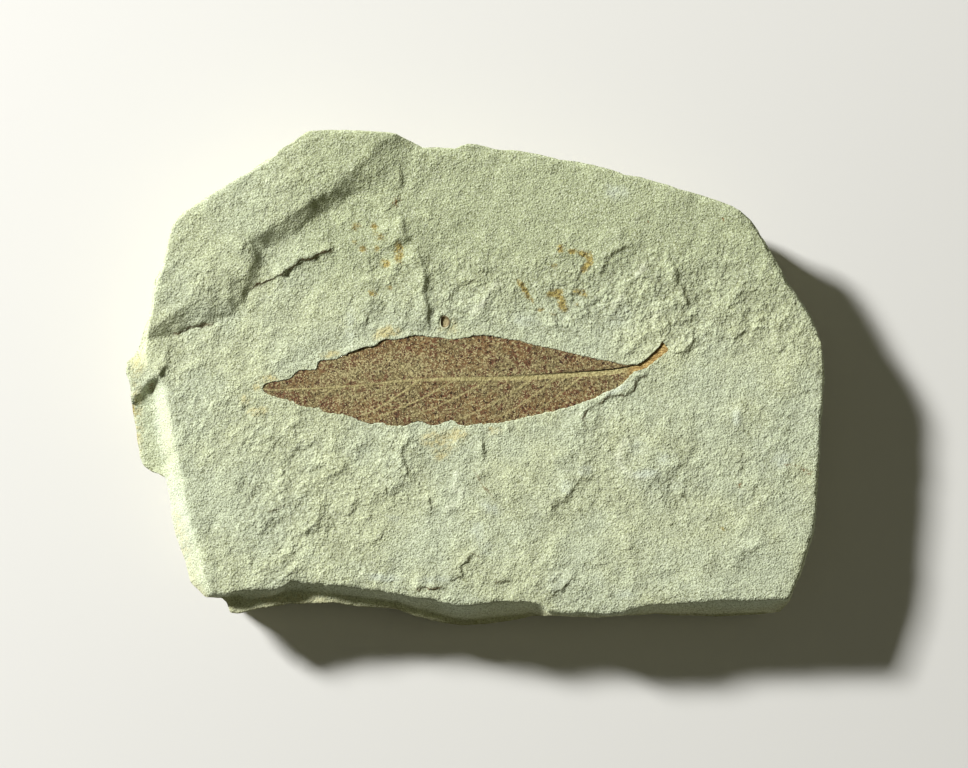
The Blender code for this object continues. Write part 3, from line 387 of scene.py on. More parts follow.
CHALK = [
    (-52.4, -8, 1.5, 7, 0.9, 4), (-49.2, -26, 1.7, 9, 0.9, 12), (-15.5, -34.6, 3.4, 0.8, 0.9, -4),
    (-7, -35, 3.5, 0.9, 0.6), (-13.5, -24.8, 2, 1, 0.5), (0, -26.5, 1.6, 2.2, 0.6),
    (1.8, -29.8, 1.2, 1.6, 0.55, 30), (2.5, -23, 2.2, 1.2, 0.7, -25),
    (18.3, -16.8, 1.8, 1, 0.7, 10), (15, -19.6, 1.5, 1.6, 0.7, 30), (25, -37.3, 2.4, 0.9, 0.6, 5),
    (28.6, -17.3, 2.4, 0.8, 1, 5), (31.2, -14.8, 1.4, 1.4, 0.6), (51, -15, 1.8, 1.6, 0.8),
    (23.5, 29.8, 2.6, 1.6, 0.7, -10), (13.5, -35.2, 3.5, 2.6, 0.5, 20), (20.4, -34.6, 1.8, 2, 0.45),
    (23.6, -3.3, 2.6, 0.5, 0.9, 28), (43.4, -8, 1, 1.8, 0.8), (7.5, 8.2, 3, 1.6, 0.6),
    (24.2, 9, 3.5, 2, 0.5, 40), (-33, 13, 6, 2, 0.3, 28), (-21, 7.5, 1, 4, 0.6),
    (40, 16, 3, 3, 0.25), (36.5, -33.8, 4, 2, 0.2), (26.5, -13, 2.4, 3.5, 0.5),
]
RUST = [
    (41.3, 25.1, 0.25, 0.65, 1.3, 15), (43.7, -19.2, 0.5, 0.45, 1.5), (28.7, 24.8, 0.25, 0.25, 1),
    (36.3, 22.4, 0.22, 0.22, 0.9), (51.5, -15.8, 1, 0.35, 0.6, -10),
    (53.4, -16.1, 1, 0.45, 0.7, -15), (54.9, -16.9, 0.8, 0.45, 0.9, -20),
    (55.9, -17.2, 0.5, 0.4, 0.7, -20), (-13.3, 28.1, 0.8, 1.4, 0.85, -45),
    # The spot at (-54.2, -2.7) is painted shade in the same notch, with some brown stain.
    (-54.2, -2.7, 0.8, 1, 0.9, -40), (-54.9, -16.5, 1, 0.5, 0.6, 10), (-26.9, 25.9, 0.3, 0.3, 0.4),
    (-18, 24.2, 0.3, 0.4, 0.6), (-12.5, 20.7, 0.35, 0.5, 0.6), (14.2, 20.4, 0.35, 0.4, 0.7),
    (8.4, 12.8, 0.25, 0.5, 0.6, 20),
]
WORN = [
    (-17, 0.6, 7.5, 1.7, 0.75, 10), (-9, 0.8, 4, 2.4, 0.5), (-24, -1.4, 4, 1.2, 0.5, 5),
    (-20, -4.2, 4.5, 1.4, 0.65), (-15, -3.8, 2, 1.6, 0.5), (-20, -7, 4, 1, 0.5, -5),
    (2, 2, 4, 1.8, 0.3), (6.4, -4, 3.2, 1.6, 0.35, 30), (21, -2, 3, 1, 0.2, 20),
    (0, -0.4, 10, 0.7, 0.35), (-26.5, 0.6, 1.2, 0.8, 0.4), (-23, 1.6, 3, 0.6, 0.6, 15),
    (-11, -6, 2, 1.4, 0.3), (16, -3.4, 3, 1, 0.2),
]


# Arithmetic on plan shapes


def smooth(low, high, value):
    """0 below low, 1 above high, and an S between them."""
    t = np.clip((value - low) / (high - low), 0.0, 1.0)
    return t * t * (3.0 - 2.0 * t)


def corner_angle(column, row, seed):
    """A fixed pseudo-random angle for each whole-number cell corner."""
    mixed = (column * 374761393 + row * 668265263 + seed * 974634777) & 0xFFFFFFFF
    mixed = ((mixed ^ (mixed >> 13)) * 1274126177) & 0xFFFFFFFF
    return (mixed ^ (mixed >> 16)) / 0xFFFFFFFF * 2.0 * math.pi


def swell(x, y, cell, seed):
    """Smooth noise from -1 to 1 whose waves are about a cell long: slopes at the corners of a
    square lattice, blended with a quintic."""
    u, v = x / cell, y / cell
    column, row = np.floor(u).astype(np.int64), np.floor(v).astype(np.int64)
    u, v = u - column, v - row
    across = u**3 * (u * (u * 6.0 - 15.0) + 10.0)
    up = v**3 * (v * (v * 6.0 - 15.0) + 10.0)
    corners = []
    for right, top in ((0, 0), (1, 0), (0, 1), (1, 1)):
        angle = corner_angle(column + right, row + top, seed)
        corners.append(np.cos(angle) * (u - right) + np.sin(angle) * (v - top))
    low = corners[0] + (corners[1] - corners[0]) * across
    high = corners[2] + (corners[3] - corners[2]) * across
    return 1.4 * (low + (high - low) * up)


def swell_on_side(x, y, z, cell, seed):
    """Noise over a steep face: the plan noise, slid along as the height changes."""
    return swell(x + 1.7 * z, y - 1.3 * z, cell, seed)


def beside(x, y, line):
    """For each point its distance from the line, positive on the line's left, with its place
    along the line and the line's length."""
    near = np.full(x.shape, np.inf)
    side = np.ones(x.shape)
    place = np.zeros(x.shape)
    run = 0.0
    for (x0, y0), (x1, y1) in zip(line, line[1:]):
        dx, dy = x1 - x0, y1 - y0
        length = math.hypot(dx, dy)
        share = np.clip(((x - x0) * dx + (y - y0) * dy) / length**2, 0.0, 1.0)
        gap = np.hypot(x - x0 - share * dx, y - y0 - share * dy)
        nearer = gap < near
        near = np.where(nearer, gap, near)
        side = np.where(nearer, np.sign(dx * (y - y0) - dy * (x - x0)), side)
        place = np.where(nearer, run + share * length, place)
        run += length
    return near * side, place, run


def window(x, y, line, margin):
    """Which points lie in a line's box, grown by a margin."""
    points = np.array(line)
    low, high = points.min(axis=0) - margin, points.max(axis=0) + margin
    return (x > low[0]) & (x < high[0]) & (y > low[1]) & (y < high[1])


def ovals(x, y, places):
    """The sum of soft-edged turned ovals, each 1 at its middle times its strength, and falling
    as exp(-r^2.5) with r its share of the way to its rim."""
    total = np.zeros(x.shape)
    for middle_x, middle_y, half_width, half_height, strength, *degrees in places:
        turn = math.radians(sum(degrees))
        dx, dy = x - middle_x, y - middle_y
        along = (dx * math.cos(turn) + dy * math.sin(turn)) / half_width
        across = (dy * math.cos(turn) - dx * math.sin(turn)) / half_height
        total += strength * np.exp(-np.minimum((along**2 + across**2) ** 1.25, 60.0))
    return total


def along_x(x, table):
    """A table of (x, value) read at each x."""
    return np.interp(x, *np.array(table, float).T)


def running(points):
    """Length from the first point to each point of a line."""
    steps = np.hypot(*np.diff(np.array(points, float), axis=0).T)
    return np.concatenate([[0.0], np.cumsum(steps)])


def at_share(points, share):
    """Points at these shares of a line's length."""
    points = np.array(points, float)
    run = running(points)
    return np.stack([np.interp(share * run[-1], run, points[:, k]) for k in (0, 1)], axis=-1)


def radius_at(rim, angle):
    """A rim's radius about the hub at each angle."""
    rim = np.array(rim, float) - HUB
    turn = np.unwrap(np.arctan2(rim[:, 1], rim[:, 0])) % (2.0 * math.pi)
    order = np.argsort(turn)
    return np.interp(angle, turn[order], np.hypot(*rim.T)[order], period=2.0 * math.pi)


def leaf_outline():
    """The leaf's closed outline, anticlockwise from its tip."""
    return LOWER_MARGIN + UPPER_MARGIN[:0:-1]


def outward(ring):
    """Unit normals of a closed anticlockwise ring, pointing out of it."""
    along = np.roll(ring, -1, axis=0) - np.roll(ring, 1, axis=0)
    along /= np.maximum(np.hypot(*along.T), 1e-9)[:, None]
    return np.stack([along[:, 1], -along[:, 0]], axis=1)


# The stone's top surface


def roughness(x, y):
    """How rough the split surface is, from 0 to 1."""
    return np.clip(MIDDLING + ovals(x, y, ROUGH_PLACES) + 0.12 * swell(x, y, 9.0, 31), 0.08, 1.0)


def near_leaf(x, y):
    """Distance from the leaf's outline, and the height of the stone over its film there."""
    outline = leaf_outline()
    distance = np.abs(beside(x, y, outline + outline[:1])[0])
    on_upper = y > along_x(x, MIDRIB)
    return distance, np.where(on_upper, along_x(x, UPPER_STAND), along_x(x, LOWER_STAND))


def block_height(x, y):
    """The corner block. Along most of its crest it drops in one even slope that rounds off
    below and spreads out at its back end, with a low brow along its crest. At its left it bulges
    down to its foot line, steepest there."""
    above_foot = np.maximum(beside(x, y, BLOCK_FOOT)[0], 0.0)
    crest_away = beside(x, y, BLOCK_CREST)[0]
    below = np.maximum(-crest_away, 0.0)
    brow = 0.2 * np.exp(-np.maximum(crest_away, 0.0) / 1.8) * smooth(-40.0, -34.0, x)
    even = 1.0 - below / np.interp(x, [-20.5, -14.5], SCARP_WIDTHS)
    even = 0.5 * (even + np.sqrt(even**2 + 0.015))
    share = below / np.maximum(above_foot + below, 1e-6)
    bulge = 1.0 - share ** np.interp(x, [-50.0, -44.0, -38.0], [1.2, 1.5, 1.6])
    right = smooth(-39.5, -34.0, x + 0.3 * (y - 19.0))
    shape = bulge + (even - bulge) * right
    return along_x(x, BLOCK_RISE) * shape + brow * shape


def small_lips():
    """The small broken marks as lines like the longer ones, each bent a little in its middle."""
    lips = []
    for middle_x, middle_y, length, degrees, rise in SMALL_LIPS:
        dx = 0.5 * length * math.cos(math.radians(degrees))
        dy = 0.5 * length * math.sin(math.radians(degrees))
        bend = (middle_x - 0.15 * dy, middle_y + 0.15 * dx)
        line = [(middle_x - dx, middle_y - dy), bend, (middle_x + dx, middle_y + dy)]
        lips.append((rise, 1.4, 0.5, 0.06, line))
    return lips


def lip_heights(x, y):
    """The broken edges of thin beds. Each rises in an S across its line, falls away behind it as
    exp(-distance / reach), fades at its ends, and has a hairline and a low slope at its foot.
    Returns the height, and for the nearest line the distance from it with its rise and crack.
    Those two fade out by LIP_REACH, and the rise is less for a wide soft face."""
    height, nearest = np.zeros(x.shape), np.full(x.shape, LIP_REACH)
    near_rise, near_crack = np.zeros(x.shape), np.zeros(x.shape)
    for rise, reach, width, groove, line in BED_LIPS + small_lips():
        inside = window(x, y, line, 3.0 * reach + 1.0)
        px, py = x[inside], y[inside]
        away, place, length = beside(px, py, line)
        fade = min(2.0, length / 3.0)
        ends = smooth(0.0, fade, place) * smooth(0.0, fade, length - place)
        broken = 0.3 if groove > 0.2 or width > 2.1 else 0.75
        ends = ends * np.clip(1.0 + broken * swell(px, py, 1.9, 57), 0.25, 1.4)
        sharp = np.interp(width, [0.8, 2.4], [1.0, 0.15])
        width = 0.3 + 0.45 * width
        raised = smooth(-0.5 * width, 0.5 * width, away)
        fall = np.exp(-np.maximum(away, 0.0) / reach)
        foot = np.exp(-(((away + 0.5 * width) / 0.28) ** 2))
        scree = 0.35 * np.exp(np.minimum(away, 0.0) / 1.3) * (1.0 - raised)
        height[inside] += ends * (rise * (raised * fall + scree) - 0.4 * max(groove, 0.0) * foot)
        nearer = np.abs(away) < np.abs(nearest[inside])
        nearest[inside] = np.where(nearer, away, nearest[inside])
        felt = ends * smooth(LIP_REACH, 0.6 * LIP_REACH, np.abs(away))
        near_rise[inside] = np.where(nearer, felt * rise * sharp, near_rise[inside])
        near_crack[inside] = np.where(nearer, felt * min(groove * 5.0, 1.0), near_crack[inside])
    return height, nearest, near_rise, near_crack


def flake_heights(x, y, rough):
    """Thin flakes left by the split: noise cut into low terraces with short broken faces, laid
    over a fabric of bumps drawn out along one slant. Returns the height and the uncut noise."""
    along, across = 0.77 * x + 0.64 * y, 0.77 * y - 0.64 * x
    ground = swell(along / 1.5, across, 5.2, 41) + 0.5 * swell(along / 1.3, across, 2.3, 42)
    ground += 0.22 * swell(x, y, 1.1, 43)
    level = ground * 2.6
    step = np.floor(level) + smooth(0.3, 0.7, level - np.floor(level))
    terrace = 0.06 * step * smooth(0.2, 0.9, rough)
    bumps = 0.2 * swell(along / 1.3, across, 2.1, 44) + 0.12 * swell(along / 1.15, across, 1.2, 45)
    bumps += 0.06 * swell(x, y, 0.8, 46)
    bumps -= 0.26 * np.abs(swell(along / 1.5, across, 3.3, 47))
    return terrace + rough * bumps, level


def hollow_heights(x, y):
    """Round hollows and bumps, each a bell of its own radius."""
    return ovals(x, y, [(a, b, radius, radius, -depth) for a, b, radius, depth in HOLLOWS])


def seed_pit(x, y):
    """The oval pit that the seed's film lines, a bell with a flat middle."""
    across = (x - SEED_PLACE[0]) / (SEED_HALF[0] + SEED_PIT_WIDER)
    along = (y - SEED_PLACE[1]) / (SEED_HALF[1] + SEED_PIT_WIDER)
    return -SEED_PIT_DEPTH * smooth(1.12, 0.8, np.hypot(across, along))


def stone_top(x, y):
    """Height of the stone's top over its base: the bedding surface with slow swells that calm
    down towards the leaf, plus the corner block, the broken bed edges, the flakes, the hollows
    and the seed's pit, and a low stand over the film along the leaf's outline. Also returns what
    the finish needs to know there: how rough it is, how far its fine relief stands up, the level
    of its flakes, and its nearest lip."""
    distance, stand = near_leaf(x, y)
    calm = smooth(0.5, 5.0, distance)
    rough = roughness(x, y)
    height = BED + calm * (
        0.25 * swell(x, y, 19.0, 3) + 0.16 * swell(x, y, 7.0, 5) + 0.07 * swell(x, y, 3.2, 8)
    )
    ragged_x = x + 0.4 * swell(x, y, 1.9, 51) + 0.16 * swell(x, y, 0.9, 52)
    ragged_y = y + 0.4 * swell(x, y, 1.9, 53) + 0.16 * swell(x, y, 0.9, 54)
    lips, nearest, near_rise, near_crack = lip_heights(ragged_x, ragged_y)
    soft_x, soft_y = x + 0.5 * swell(x, y, 4.0, 55), y + 0.5 * swell(x, y, 4.0, 56)
    fine, level = flake_heights(x, y, rough)
    fine *= 0.25 + 0.75 * smooth(0.0, 2.0, distance)
    block = block_height(0.75 * soft_x + 0.25 * ragged_x, 0.75 * soft_y + 0.25 * ragged_y)
    height += block + lips + fine
    height += hollow_heights(ragged_x, ragged_y) + seed_pit(x, y)
    height += stand * np.exp(-distance / 1.1)
    nearest = np.clip(nearest, -LIP_REACH, LIP_REACH) / (2.0 * LIP_REACH) + 0.5
    level = np.clip(level / FLAKE_LEVELS + 0.5, 0.0, 1.0)
    known = {
        "lips": np.stack([nearest, near_rise, 0.5 + 0.5 * near_crack], axis=-1),
        # The first relief channel drives painted shade and highlight in the finish: darker where
        # the fine relief lies low, lighter where it stands up.
        "relief": np.stack([0.5 + 1.6 * fine, rough, level], axis=-1),
    }
    return height, known


# The stone's rings


def matched_rings():
    """The leaf's outline and the top edge, each with a point for every station, so that lines
    between them fan out from the leaf to the slab's corners."""
    leaf = leaf_outline()
    leaf = leaf + leaf[:1]
    edge = TOP_EDGE + TOP_EDGE[:1]
    leaf_run, edge_run = running(leaf), running(edge)
    leaf_marks, edge_marks = [], []
    for on_leaf, on_edge in ANCHORS:
        leaf_marks.append(leaf_run[leaf.index(on_leaf)] / leaf_run[-1])
        edge_marks.append(edge_run[edge.index(on_edge)] / edge_run[-1])
    turned = [(mark - edge_marks[0]) % 1.0 for mark in edge_marks] + [1.0]
    share = np.arange(STATIONS) / STATIONS
    outer = at_share(edge, (share + edge_marks[0]) % 1.0)
    inner = at_share(leaf, np.interp(share, turned, leaf_marks + [1.0]))
    return inner, outer


def ragged(ring, amounts, seed):
    """A closed ring with its points moved in and out by noise of several sizes."""
    shift = np.zeros(len(ring))
    for number, (cell, amount) in enumerate(amounts):
        shift += amount * swell(*ring.T, cell, seed + number)
    return ring + outward(ring) * shift[:, None]


def top_rings():
    """The top surface as an array of rings, from the leaf's outline out to the top edge."""
    leaf, edge = matched_rings()
    leaf = ragged(leaf, LEAF_RAGGED, 61)
    edge = ragged(edge, EDGE_RAGGED, 64)
    share = (np.arange(TOP_RINGS + 1) / TOP_RINGS)[:, None, None] ** 1.15  # closer by the leaf
    plan = leaf + (edge - leaf) * share
    height, known = stone_top(plan[..., 0], plan[..., 1])
    near_edge = smooth(0.965, 1.0, share[..., 0])
    height -= 0.25 * near_edge * (0.5 + 0.5 * swell(plan[..., 0], plan[..., 1], 2.4, 67))
    return plan, height, known


def slope_rings(edge, edge_height):
    """Rings from the top edge down the broken slopes and ledges to the rim. The end wall of the
    ledge at the left swings round as it runs out, and noise wavers all such walls."""
    spoke = np.arctan2(edge[:, 1] - HUB[1], edge[:, 0] - HUB[0])
    ray = np.stack([np.cos(spoke), np.sin(spoke)], axis=1)
    edge_radius = np.hypot(*(edge - HUB).T)
    rim_radius = radius_at(RIM, spoke % (2.0 * math.pi))
    rim_radius += 0.09 * swell(*edge.T, 2.6, 71) + 0.08 * swell(*edge.T, 1.1, 72) - 0.08
    rim_radius = np.maximum(rim_radius, edge_radius + 0.12)
    angles, falls, flats = (np.array(column, float) for column in zip(*RIM_FALLS))
    share = (np.arange(1, SLOPE_RINGS + 1) / SLOPE_RINGS)[:, None]
    degrees = np.degrees(spoke)[None, :] % 360.0
    sets_in, full, wanes, over = WALL_SWINGS
    by_wall = smooth(sets_in, full, degrees) * smooth(over, wanes, degrees)
    swung = degrees - WALL_TURN * share**1.3 * by_wall
    start = np.interp(swung, degrees[0], edge_height, period=360.0)
    read_at = swung + 0.25 * swell(degrees, share * 6.0, 1.1, 73)
    fall, flat = np.interp(read_at, angles, falls), np.interp(read_at, angles, flats)
    down = fall * np.minimum(share / (1.0 - flat), 1.0) ** 0.9
    radius = edge_radius + (rim_radius - edge_radius) * share
    plan = HUB + ray[None] * radius[..., None]
    grain = 0.09 * swell_on_side(plan[..., 0], plan[..., 1], down, 1.6, 74)
    grain += 0.06 * swell_on_side(plan[..., 0], plan[..., 1], down, 0.8, 75)
    return plan, start - down + grain * smooth(0.0, 0.3, share), ray


def layering(x, y, z):
    """How far the thin beds stand out of the slab's side: each bed has its own amount, read from
    noise over the height alone, and it wavers along the side."""
    level = z + 0.5 * swell(x, y, 16.0, 81) + 0.2 * swell(x, y, 5.0, 82)
    none = np.zeros(level.shape)
    beds = swell(level, none + 3.3, 1.9, 83) + 0.7 * swell(level, none + 7.7, 0.8, 84)
    waver = 0.55 + 0.45 * swell(x, y, 4.5, 85)
    chips = 0.35 * swell_on_side(x, y, z, 3.4, 86) + 0.25 * swell_on_side(x, y, z, 1.4, 87)
    chips += 0.5 * swell_on_side(x, y, z, 7.5, 88)
    return 0.34 * beds * waver + chips


def side_rings(rim, rim_height, ray):
    """Rings from the rim down the broken sides to the base. The sides lean in by a millimetre or
    so, thin beds stand out of them, and they turn under in a small round bevel."""
    t = (np.arange(1, SIDE_RINGS + 1) / SIDE_RINGS)[:, None]
    radius = np.hypot(*(rim - HUB).T)
    steps = range(-EVENED_OVER, EVENED_OVER + 1)
    evened = np.mean([np.roll(radius, step) for step in steps], axis=0)
    evened = np.minimum(evened, radius + EVENED_MOST)
    radius = radius[None] + (evened - radius)[None] * smooth(0.0, 0.7, t)
    height = rim_height[None] + (BASE_BEVEL - rim_height[None]) * t
    plan = HUB + ray[None] * radius[..., None]
    out = layering(plan[..., 0], plan[..., 1], height) * smooth(0.0, 0.15, t)
    inset = 0.35 * smooth(0.0, 0.1, t) + 0.85 * t - out * (1.0 - 0.4 * t)
    radius = radius - np.maximum(inset, 0.02 * t)
    plan = HUB + ray[None] * radius[..., None]
    foot = radius[-1]
    rings = [(plan[k], height[k]) for k in range(SIDE_RINGS)]
    for turn in (0.35, 0.7, 1.0):
        angle = turn * 0.5 * math.pi
        tuck = BASE_BEVEL * (1.0 - math.cos(angle))
        level = BASE_BEVEL * (1.0 - math.sin(angle))
        rings.append((HUB + ray * (foot - tuck)[:, None], np.full(len(foot), level)))
    return rings


def base_rings(foot):
    """Rings across the underside to its middle. It stays flat at the foot and in a wide belt,
    and has shallow scars where flakes came away."""
    rings = []
    for k in range(1, BASE_RINGS + 1):
        plan = HUB + (foot - HUB) * (1.0 - k / (BASE_RINGS + 1.0))
        scar = smooth(0.1, 0.6, swell(*plan.T, 17.0, 91) + 0.4 * swell(*plan.T, 6.0, 92))
        chips = np.maximum(0.12 * swell(*plan.T, 3.0, 93), 0.0)
        rings.append((plan, 0.45 * scar + chips))
    return rings


# Meshes


def quads_between(first, second):
    """Faces between two closed rings of the same count, given as vertex numbers."""
    after = np.roll(first, -1), np.roll(second, -1)
    return np.stack([first, second, after[1], after[0]], axis=1).tolist()


def halved(first, second):
    """Faces from a closed ring to one with half as many points."""
    whole, between, following = first[0::2], first[1::2], np.roll(first, -2)[0::2]
    after = np.roll(second, -1)
    faces = np.concatenate([
        np.stack([whole, second, between], axis=1),
        np.stack([between, after, following], axis=1),
        np.stack([between, second, after], axis=1),
    ])
    return faces.tolist()


def piece(name, places, faces, colours, finish):
    """A smooth-shaded object from drawing millimetres, with colour attributes and a material."""
    places = np.array(places, float)
    places[:, :2] -= PLAN_MIDDLE
    low, high = (np.array(corner) for corner in cad_box)
    places = np.clip(places * MM, low, high)
    mesh = bpy.data.meshes.new(name)
    mesh.from_pydata(places.tolist(), [], faces)
    for title, values in colours.items():
        attribute = mesh.attributes.new(title, "FLOAT_COLOR", "POINT")
        full = np.concatenate([values, np.ones((len(values), 1))], axis=1)
        attribute.data.foreach_set("color", np.clip(full, 0.0, 1.0).astype(np.float32).ravel())
    mesh.shade_smooth()
    mesh.materials.append(finish)
    obj = bpy.data.objects.new(name, mesh)
    bpy.context.scene.collection.objects.link(obj)
    return obj


def make_stone(finish):
    """The slab: the leaf's bed, the top surface, the slopes, the sides and the underside, as one
    closed skin of rings. From the rim down every second station is left out."""
    plan, height, known = top_rings()
    rings = [(plan[0], np.full(STATIONS, BED - FLOOR_SINK))]
    rings += [(plan[k], height[k]) for k in range(TOP_RINGS + 1)]
    slopes, slope_height, ray = slope_rings(plan[-1], height[-1])
    rings += list(zip(slopes, slope_height))
    half = slopes[-1][0::2], slope_height[-1][0::2], ray[0::2]
    sides = side_rings(*half)
    under = base_rings(sides[-1][0])
    places, numbers = [], []
    total = 0
    for ring_plan, ring_height in rings + sides + under:
        places.append(np.concatenate([ring_plan, np.asarray(ring_height)[:, None]], axis=1))
        numbers.append(np.arange(total, total + len(ring_plan)))
        total += len(ring_plan)
    faces = [numbers[0].tolist()]
    for first, second in zip(numbers, numbers[1:]):
        join = quads_between if len(first) == len(second) else halved
        faces += join(first, second)
    last = numbers[-1]
    middle = np.full(len(last), total)
    faces += np.stack([last, middle, np.roll(last, -1)], axis=1).tolist()
    places = np.concatenate(places + [np.array([[*HUB, BASE_MIDDLE]])])

    # How far each point counts as broken side, whose finish has tan bedding lines.
    x, y, z = places.T
    top_count = STATIONS * (TOP_RINGS + 2)
    on_side = np.ones(len(places))
    on_side[:top_count] = 0.0
    slope = slice(top_count, top_count + STATIONS * SLOPE_RINGS)
    down = np.repeat(np.arange(1, SLOPE_RINGS + 1) / SLOPE_RINGS, STATIONS)
    # Along the front the slopes take more of the tan, partly as brown weathering and partly as
    # painted shade.
    on_side[slope] = (0.3 + 0.45 * smooth(-30.0, -37.0, y[slope])) * down**0.6
    deep = np.maximum(z.max() - z[slope.stop :] - 4.0, 0.0)
    on_side[slope.stop :] = 1.0 - 0.35 * np.exp(-deep / 1.5)

    # Stains on the top and slopes, and the darker back of the slab away from the block.
    on_top = slice(0, slope.stop)
    stains = np.zeros((len(places), 3))
    marks = np.zeros((len(places), 3))
    for column, spots in enumerate((OCHRE, PALE_YELLOW, CHALK)):
        stains[on_top, column] = ovals(x[on_top], y[on_top], spots)
    marks[on_top, 0] = ovals(x[on_top], y[on_top], RUST)
    block = smooth(-24.0, -34.0, x)
    marks[:, 1] = smooth(2.0, 24.0, y) * (1.0 - 0.6 * block)
    marks[:, 2] = on_side

    # What the finish knows of the relief, with plain values off the top surface.
    filled = slice(STATIONS, top_count)
    relief = np.tile([0.5, 0.7, 0.5], (len(places), 1))
    relief[filled] = known["relief"].reshape(-1, 3)
    relief[slope, 1] = 0.35
    relief[slope, 2] = np.tile(relief[top_count - STATIONS : top_count, 2], SLOPE_RINGS)
    lips = np.tile([1.0, 0.0, 0.5], (len(places), 1))
    lips[filled] = known["lips"].reshape(-1, 3)
    colours = {"stains": stains, "marks": marks, "relief": relief, "lips": lips}
    return piece("shale_slab", places, faces, colours, finish)


def vein_lines():
    """Side veins as lines from the midrib towards the tip and the margin, with their strength.
    Each bends a little more towards the tip as it goes."""
    lines = []
    halves = ((-1.0, LOWER_MARGIN, LOWER_VEINS), (1.0, UPPER_MARGIN, UPPER_VEINS))
    for side, margin, veins in halves:
        for root, slope, strength in veins:
            start = along_x(root, MIDRIB)
            line = []
            for along in np.linspace(0.0, 14.0, 29):
                y = start + side * slope * along * (1.0 - 0.018 * along)
                left = side * (along_x(root - along, margin) - y)
                if left < 0.35 or root - along < MIDRIB[0][0] + 1.0:
                    break
                line.append((root - along, y))
            if len(line) > 3:
                lines.append((strength, line))
    return lines


def leaf_surface(x, y):
    """Height of the film's top against the bedding surface, with how much of a vein, a painted
    shadow along the midrib's step and wear each point has. The half of the blade over the midrib
    stands up in a step along it, the midrib is a pale band below that step, and the side veins are
    low ridges."""
    rib_away = beside(x, y, MIDRIB)[0]
    half = along_x(x, RIB_HALF)
    wander = 0.05 * swell(x, y, 1.3, 101)
    over = rib_away + wander - half
    on_rib = smooth(half + 0.09, half - 0.09, np.abs(rib_away + wander))
    height = -0.04 + 0.03 * swell(x, y, 1.3, 102) + 0.035 * swell(x, y, 0.6, 103)
    height += 0.05 * swell(x, y, 5.0, 104)
    step = along_x(x, RIB_STEP) * smooth(-0.12, 0.12, over)
    height += step * np.exp(-np.maximum(over, 0.0) / 2.4)
    height += along_x(x, RIB_RISE) * on_rib
    height -= 0.04 * on_rib * smooth(0.0, 8.0, x)
    vein = on_rib * along_x(x, RIB_SHOWN)
    for strength, line in vein_lines():
        inside = window(x, y, line, 1.5)
        away, place, length = beside(x[inside] + wander[inside], y[inside], line)
        width = 0.15 - 0.06 * place / length
        ridge = np.exp(-((away / width) ** 2)) * smooth(length, length - 1.5, place)
        height[inside] += 0.035 * strength * ridge
        vein[inside] = np.maximum(vein[inside], 0.95 * strength * ridge)
    # Painted shadow: a dark line along the foot of the step over the midrib.
    fold_shadow_line = along_x(x, FOLD_SHADOW_SHOWN) * np.exp(-((over / 0.13) ** 2))
    blister = 0.16 * np.exp(-((np.hypot(x + 25.5, y + 5.2) / 0.34) ** 2))
    return height + blister, vein, fold_shadow_line, ovals(x, y, WORN)


def make_leaf(finish):
    """The leaf's film: cross lines from the lower margin over the midrib to the upper margin,
    carried from the tip to the stalk's end, and closed underneath. The film runs a little way
    under the stone's edge all round."""
    rows, columns, tuck = 430, 41, 0.12
    share = np.linspace(0.0, 1.0, rows + 1)[1:]
    share = TIP_SHARE + (1.0 - TIP_SHARE) * (share - share[0]) / (1.0 - share[0])
    lower, upper, middle = (at_share(line, share) for line in (LOWER_MARGIN, UPPER_MARGIN, MIDRIB))
    outline = ragged(np.concatenate([lower, upper[::-1]]), LEAF_RAGGED, 61)
    outline = outline + outward(outline) * tuck
    lower, upper = outline[:rows], outline[rows:][::-1]
    t = np.linspace(0.0, 1.0, columns)[None, :, None]
    below = lower[:, None] + (middle - lower)[:, None] * t
    above = middle[:, None] + (upper - middle)[:, None] * t[:, 1:]
    plan = np.concatenate([below, above], axis=1)
    height, vein, fold_shadow_line, worn = leaf_surface(plan[..., 0], plan[..., 1])
    from_edge = [np.hypot(*(plan - line[:, None]).transpose(2, 0, 1)) for line in (lower, upper)]
    inner = smooth(0.0, 0.35, np.minimum(*from_edge))
    top = BED + height - 0.03 * (1.0 - inner)
    back_share = np.linspace(1.0, 0.0, 9)[None, :, None]
    back = lower[:, None] + (upper - lower)[:, None] * back_share
    back_height = np.full(back.shape[:2], BED - FILM_BACK)
    width = plan.shape[1] + back.shape[1]
    level = np.concatenate([top, back_height], axis=1)
    places = np.concatenate([np.concatenate([plan, back], axis=1), level[..., None]], axis=2)
    numbers = np.arange(rows * width).reshape(rows, width)
    beyond = np.roll(numbers, -1, axis=1)
    faces = np.stack([numbers[:-1], numbers[1:], beyond[1:], beyond[:-1]], axis=-1)
    faces = faces.reshape(-1, 4).tolist()
    faces += [numbers[0].tolist(), numbers[-1][::-1].tolist()]
    stalk = smooth(STALK_START - 1.5, STALK_START + 2.5, plan[..., 0])
    from_rib = np.abs(beside(plan[..., 0], plan[..., 1], MIDRIB)[0])
    olive = np.exp(-((from_rib / 1.7) ** 2)) * smooth(-33.0, -22.0, plan[..., 0])
    blank = np.zeros((rows, back.shape[1], 3))
    colours = {}
    for title, layers in (("veins", (vein, fold_shadow_line, worn)), ("parts", (stalk, 1.0 - inner, olive))):
        values = np.concatenate([np.stack(layers, axis=-1), blank], axis=1)
        colours[title] = values.reshape(-1, 3)
    return piece("leaf_film", places.reshape(-1, 3), faces, colours, finish)


